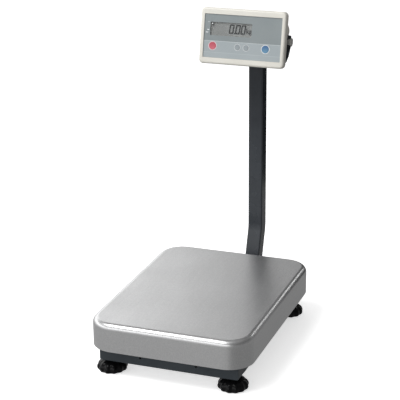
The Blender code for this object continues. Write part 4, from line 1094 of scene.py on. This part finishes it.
# The circuit board is glass fibre with green solder mask, and carries a few chips behind the keys.
board_green, tree, shader = new_look("green_solder_mask")
place = use(tree, head_place)
laid = put(tree, "ShaderNodeMapping", {"Vector": place["Place"], "Rotation": (math.pi / 2, 0, 0),
                                       "Scale": (60, 60, 60)})
tracks = put(tree, "ShaderNodeTexBrick", {
    "Vector": laid.outputs[0], "Color1": (0.008, 0.085, 0.035, 1), "Color2": (0.010, 0.100, 0.040, 1),
    "Mortar": (0.020, 0.170, 0.070, 1), "Scale": 2.0, "Mortar Size": 0.03})
coated(tree, shader, tracks.outputs["Color"], use(tree, peel, Fineness=900.0)["Cloud"], 0.28, 0.42)
board = block("circuit_board_panel", head_point(-0.093, 0.0092, -0.049), head_point(0.093, 0.0108, 0.049))
round_edges(board, 0.002, 3, lambda a, b: abs(a.y - b.y) > 0.001)
soften(board, 0.0001, segments=1)
leaned(board, board_green, "display", "board_green", "circuit_board")
for x, z, width, height, thick in ((-0.020, 0.010, 0.014, 0.014, 0.0018),
                                   (0.035, 0.015, 0.010, 0.006, 0.0016),
                                   (-0.060, -0.020, 0.009, 0.005, 0.0016),
                                   (0.060, -0.028, 0.020, 0.008, 0.0060)):
    chip = block("board_chip", head_point(x - width / 2, 0.0108, z - height / 2),
                 head_point(x + width / 2, 0.0108 + thick, z + height / 2))
    soften(chip, 0.0003)
    leaned(chip, satin_black, "display", "black_plastic")

# ======================================================================== keys and tilt knobs
# Domed caps moulded in red, blue and grey plastic on short stems, and two ribbed thumb screws that
# clamp the head between the bracket's arms.


def keycap(name, dark, light):
    look, tree, shader = new_look(name)
    place = use(tree, head_place)
    skin = use(tree, peel, Fineness=1800.0)
    row = KEY_ROW - PIVOT_RISE
    # Painted highlight: each cap goes from the dark colour at its top to the light one at its bottom, standing
    # in for the light its dome catches.
    tone = mixed(tree, ranged(tree, place["Rise"], 0.0, 1.0, row + 0.008, row - 0.008), dark, light)
    tone = mixed(tree, ranged(tree, skin["Cloud"], 0.0, 0.15, 0.3, 0.7), tone, light)
    coated(tree, shader, tone, skin["Cloud"], 0.30, 0.40)
    bumped(tree, shader, skin["Height"], 0.05, 0.00005)
    return look


key_looks = {"red_key": (keycap("red_key_plastic", (0.36, 0.025, 0.055), (0.54, 0.13, 0.165)), "key_red"),
             "blue_key": (keycap("blue_key_plastic", (0.016, 0.085, 0.215), (0.12, 0.26, 0.39)), "key_blue")}
grey_look = (keycap("grey_key_plastic", (0.20, 0.23, 0.245), (0.29, 0.325, 0.34)), "key_grey")
for name, x, radius in KEYS:
    look, slot = key_looks.get(name, grey_look)
    cap = rod(name + "_cap", head_point(x, 0.0009, KEY_ROW), (0, 1, 0), radius, 0.0030, vertices=64)
    face_y = head_point(0, -0.0006, 0).y
    pick(cap, "FACE", lambda place, normal: normal.y < -0.9)
    bpy.ops.mesh.inset(thickness=radius * 0.20)
    bpy.ops.mesh.inset(thickness=radius * 0.30)
    done()
    pick(cap, "VERT", lambda place: place.y < face_y + 1e-5
         and math.hypot(place.x - x, place.z - KEY_ROW + PIVOT_RISE) > radius * 0.98)
    bpy.ops.transform.translate(value=(0, 0.0005, 0))
    done()
    pick(cap, "VERT", lambda place: place.y < face_y + 1e-5
         and math.hypot(place.x - x, place.z - KEY_ROW + PIVOT_RISE) > radius * 0.7)
    bpy.ops.transform.translate(value=(0, 0.0001, 0))
    done()
    stem = rod("stem", head_point(x, 0.0054, KEY_ROW), (0, 1, 0), 0.0030, 0.0060, vertices=32)
    soften(stem, 0.0003)
    soften(cap, 0.0002, angle=50)
    leaned(joined(cap, stem), look, name, slot, name, smooth=50)

KNOB_RIBS = 20
KNOB_GRIP = 0.0066
knob_grey = finish("light_grey_knob", peel, (0.44, 0.44, 0.42), (0.52, 0.52, 0.50), (0.34, 0.44),
                   ("Height", 0.08, 0.00006), (0.3, 0.7), rubbed=(0.0004, 160.0, 1.0, (0.60, 0.60, 0.58)),
                   Fineness=1500.0)
for node, side in (("tilt_knob_left", -1), ("tilt_knob_right", 1)):
    start, end = 0.1036, 0.1150
    grip = rod(node + "_grip", (side * (start + end) / 2, 0, 0), (1, 0, 0), KNOB_GRIP, end - start,
               vertices=KNOB_RIBS * 4)
    pick(grip, "FACE", lambda place, normal: abs(normal.x) < 0.1
         and round(math.atan2(place.z, place.y) / (2 * math.pi) * KNOB_RIBS * 4 - 0.5) % 4 < 2)
    bpy.ops.mesh.inset(thickness=0.0003, use_individual=False)
    bpy.ops.transform.resize(value=(1, 0.93, 0.93), center_override=(side * (start + end) / 2, 0, 0))
    done()
    round_edges(grip, 0.0008, 4, lambda a, b: min(a.x * side, b.x * side) > end - 1e-5)
    shank = rod("shank", (side * (REAR_HALF - 0.004 + start) / 2, 0, 0), (1, 0, 0), 0.0032,
                start - REAR_HALF + 0.004)
    soften(shank, 0.0003)
    leaned(joined(grip, shank), knob_grey, node, "knob_grey", node)

# ======================================================================== studio
# A pale floor, bright enough to stay white, under a soft sky that is light from the front and the left
# and dim from the right, with one large softbox overhead. The floor casts no light back on the scale.

bpy.ops.mesh.primitive_plane_add(size=30, location=(0, 0, 0))
floor = only(bpy.context.object)
floor.name = "studio_floor"
floor_look, tree, shader = new_look("pale_floor")
shader.inputs["Base Color"].default_value = (0.90, 0.90, 0.90, 1)
shader.inputs["Roughness"].default_value = 0.9
shader.inputs["Specular IOR Level"].default_value = 0.0
shader.inputs["Emission Color"].default_value = (1, 1, 1, 1)
shader.inputs["Emission Strength"].default_value = 0.6
floor.data.materials.append(floor_look)
floor.visible_glossy = False
floor.visible_diffuse = False

world = bpy.data.worlds.new("soft_sky")
bpy.context.scene.world = world
world.use_nodes = True
sky = world.node_tree
way = put(sky, "ShaderNodeTexCoord").outputs["Generated"]
leftward = put(sky, "ShaderNodeVectorMath", {0: way, 1: (-0.938, -0.345, 0.0)},
               operation="DOT_PRODUCT").outputs["Value"]
height = put(sky, "ShaderNodeSeparateXYZ", {"Vector": way}).outputs["Z"]


def sky_side(*stops):
    """Brightness of one side of the sky from straight down to straight up."""
    ramp = put(sky, "ShaderNodeValToRGB", {"Fac": ranged(sky, height, 0.0, 1.0, -1.0, 1.0)})
    while len(ramp.color_ramp.elements) < len(stops):
        ramp.color_ramp.elements.new(0.5)
    for element, (place, level) in zip(ramp.color_ramp.elements, stops):
        element.position = (place + 1) / 2
        element.color = (level, level, level, 1)
    return ramp.outputs["Color"]


bright = sky_side((-1.0, 0.35), (-0.35, 0.54), (-0.08, 0.58), (0.10, 1.0), (0.42, 2.9), (0.60, 0.25),
                  (1.0, 0.4))
dim = sky_side((-1.0, 0.15), (-0.33, 0.34), (0.0, 0.34), (0.40, 0.20), (0.60, 0.16), (1.0, 0.4))
across_sky = put(sky, "ShaderNodeMapRange", {"Value": leftward, "From Min": -0.13, "From Max": 0.19},
                 interpolation_type="SMOOTHSTEP").outputs[0]
sky.links.new(mixed(sky, across_sky, dim, bright), sky.nodes["Background"].inputs["Color"])


def softbox(name, place, aim, width, height, power):
    bpy.ops.object.light_add(type="AREA", location=place)
    lamp = bpy.context.object
    lamp.name = name
    lamp.data.shape = "RECTANGLE"
    lamp.data.size = width
    lamp.data.size_y = height
    lamp.data.energy = power
    lamp.rotation_euler = (Vector(aim) - Vector(place)).to_track_quat("-Z", "Y").to_euler()


softbox("overhead_softbox", (-0.9, -1.0, 2.6), (0, 0, 0.2), 1.6, 0.8, 46)
softbox("back_right_softbox", (0.9, 2.4, 1.0), (0, 0, 0.1), 0.5, 0.8, 4)

# A black flag behind on the right, out of shot, gives the mast's right side its dark reflection.
bpy.ops.mesh.primitive_plane_add(size=1, location=(0.45, 1.1, 0.28), rotation=(math.pi / 2, 0, 0))
flag = only(bpy.context.object)
flag.name = "black_flag"
flag.scale = (0.8, 0.56, 1)
bpy.ops.object.transform_apply()
flag_look, tree, shader = new_look("black_cloth")
shader.inputs["Base Color"].default_value = (0.002, 0.002, 0.002, 1)
shader.inputs["Specular IOR Level"].default_value = 0.0
flag.data.materials.append(flag_look)
flag.visible_camera = False
flag.visible_shadow = False

azimuth, elevation, roll, distance = 0.35344, 0.33755, -0.008967, 3.2718
target = Vector((-0.0081, pan_middle, 0.3593))
level_reach = math.cos(elevation)
back = Vector((math.sin(azimuth) * level_reach, -math.cos(azimuth) * level_reach, math.sin(elevation)))
right = Vector((math.cos(azimuth), math.sin(azimuth), 0))
up = back.cross(right)
across = right * math.cos(roll) + up * math.sin(roll)
upward = up * math.cos(roll) - right * math.sin(roll)
bpy.ops.object.camera_add(location=target + back * distance)
camera = bpy.context.object
camera.rotation_euler = Matrix((across, upward, back)).transposed().to_euler()
camera.data.lens = 125.03
camera.data.sensor_width = 36.0
bpy.context.scene.camera = camera
bpy.context.scene.view_settings.view_transform = "Standard"
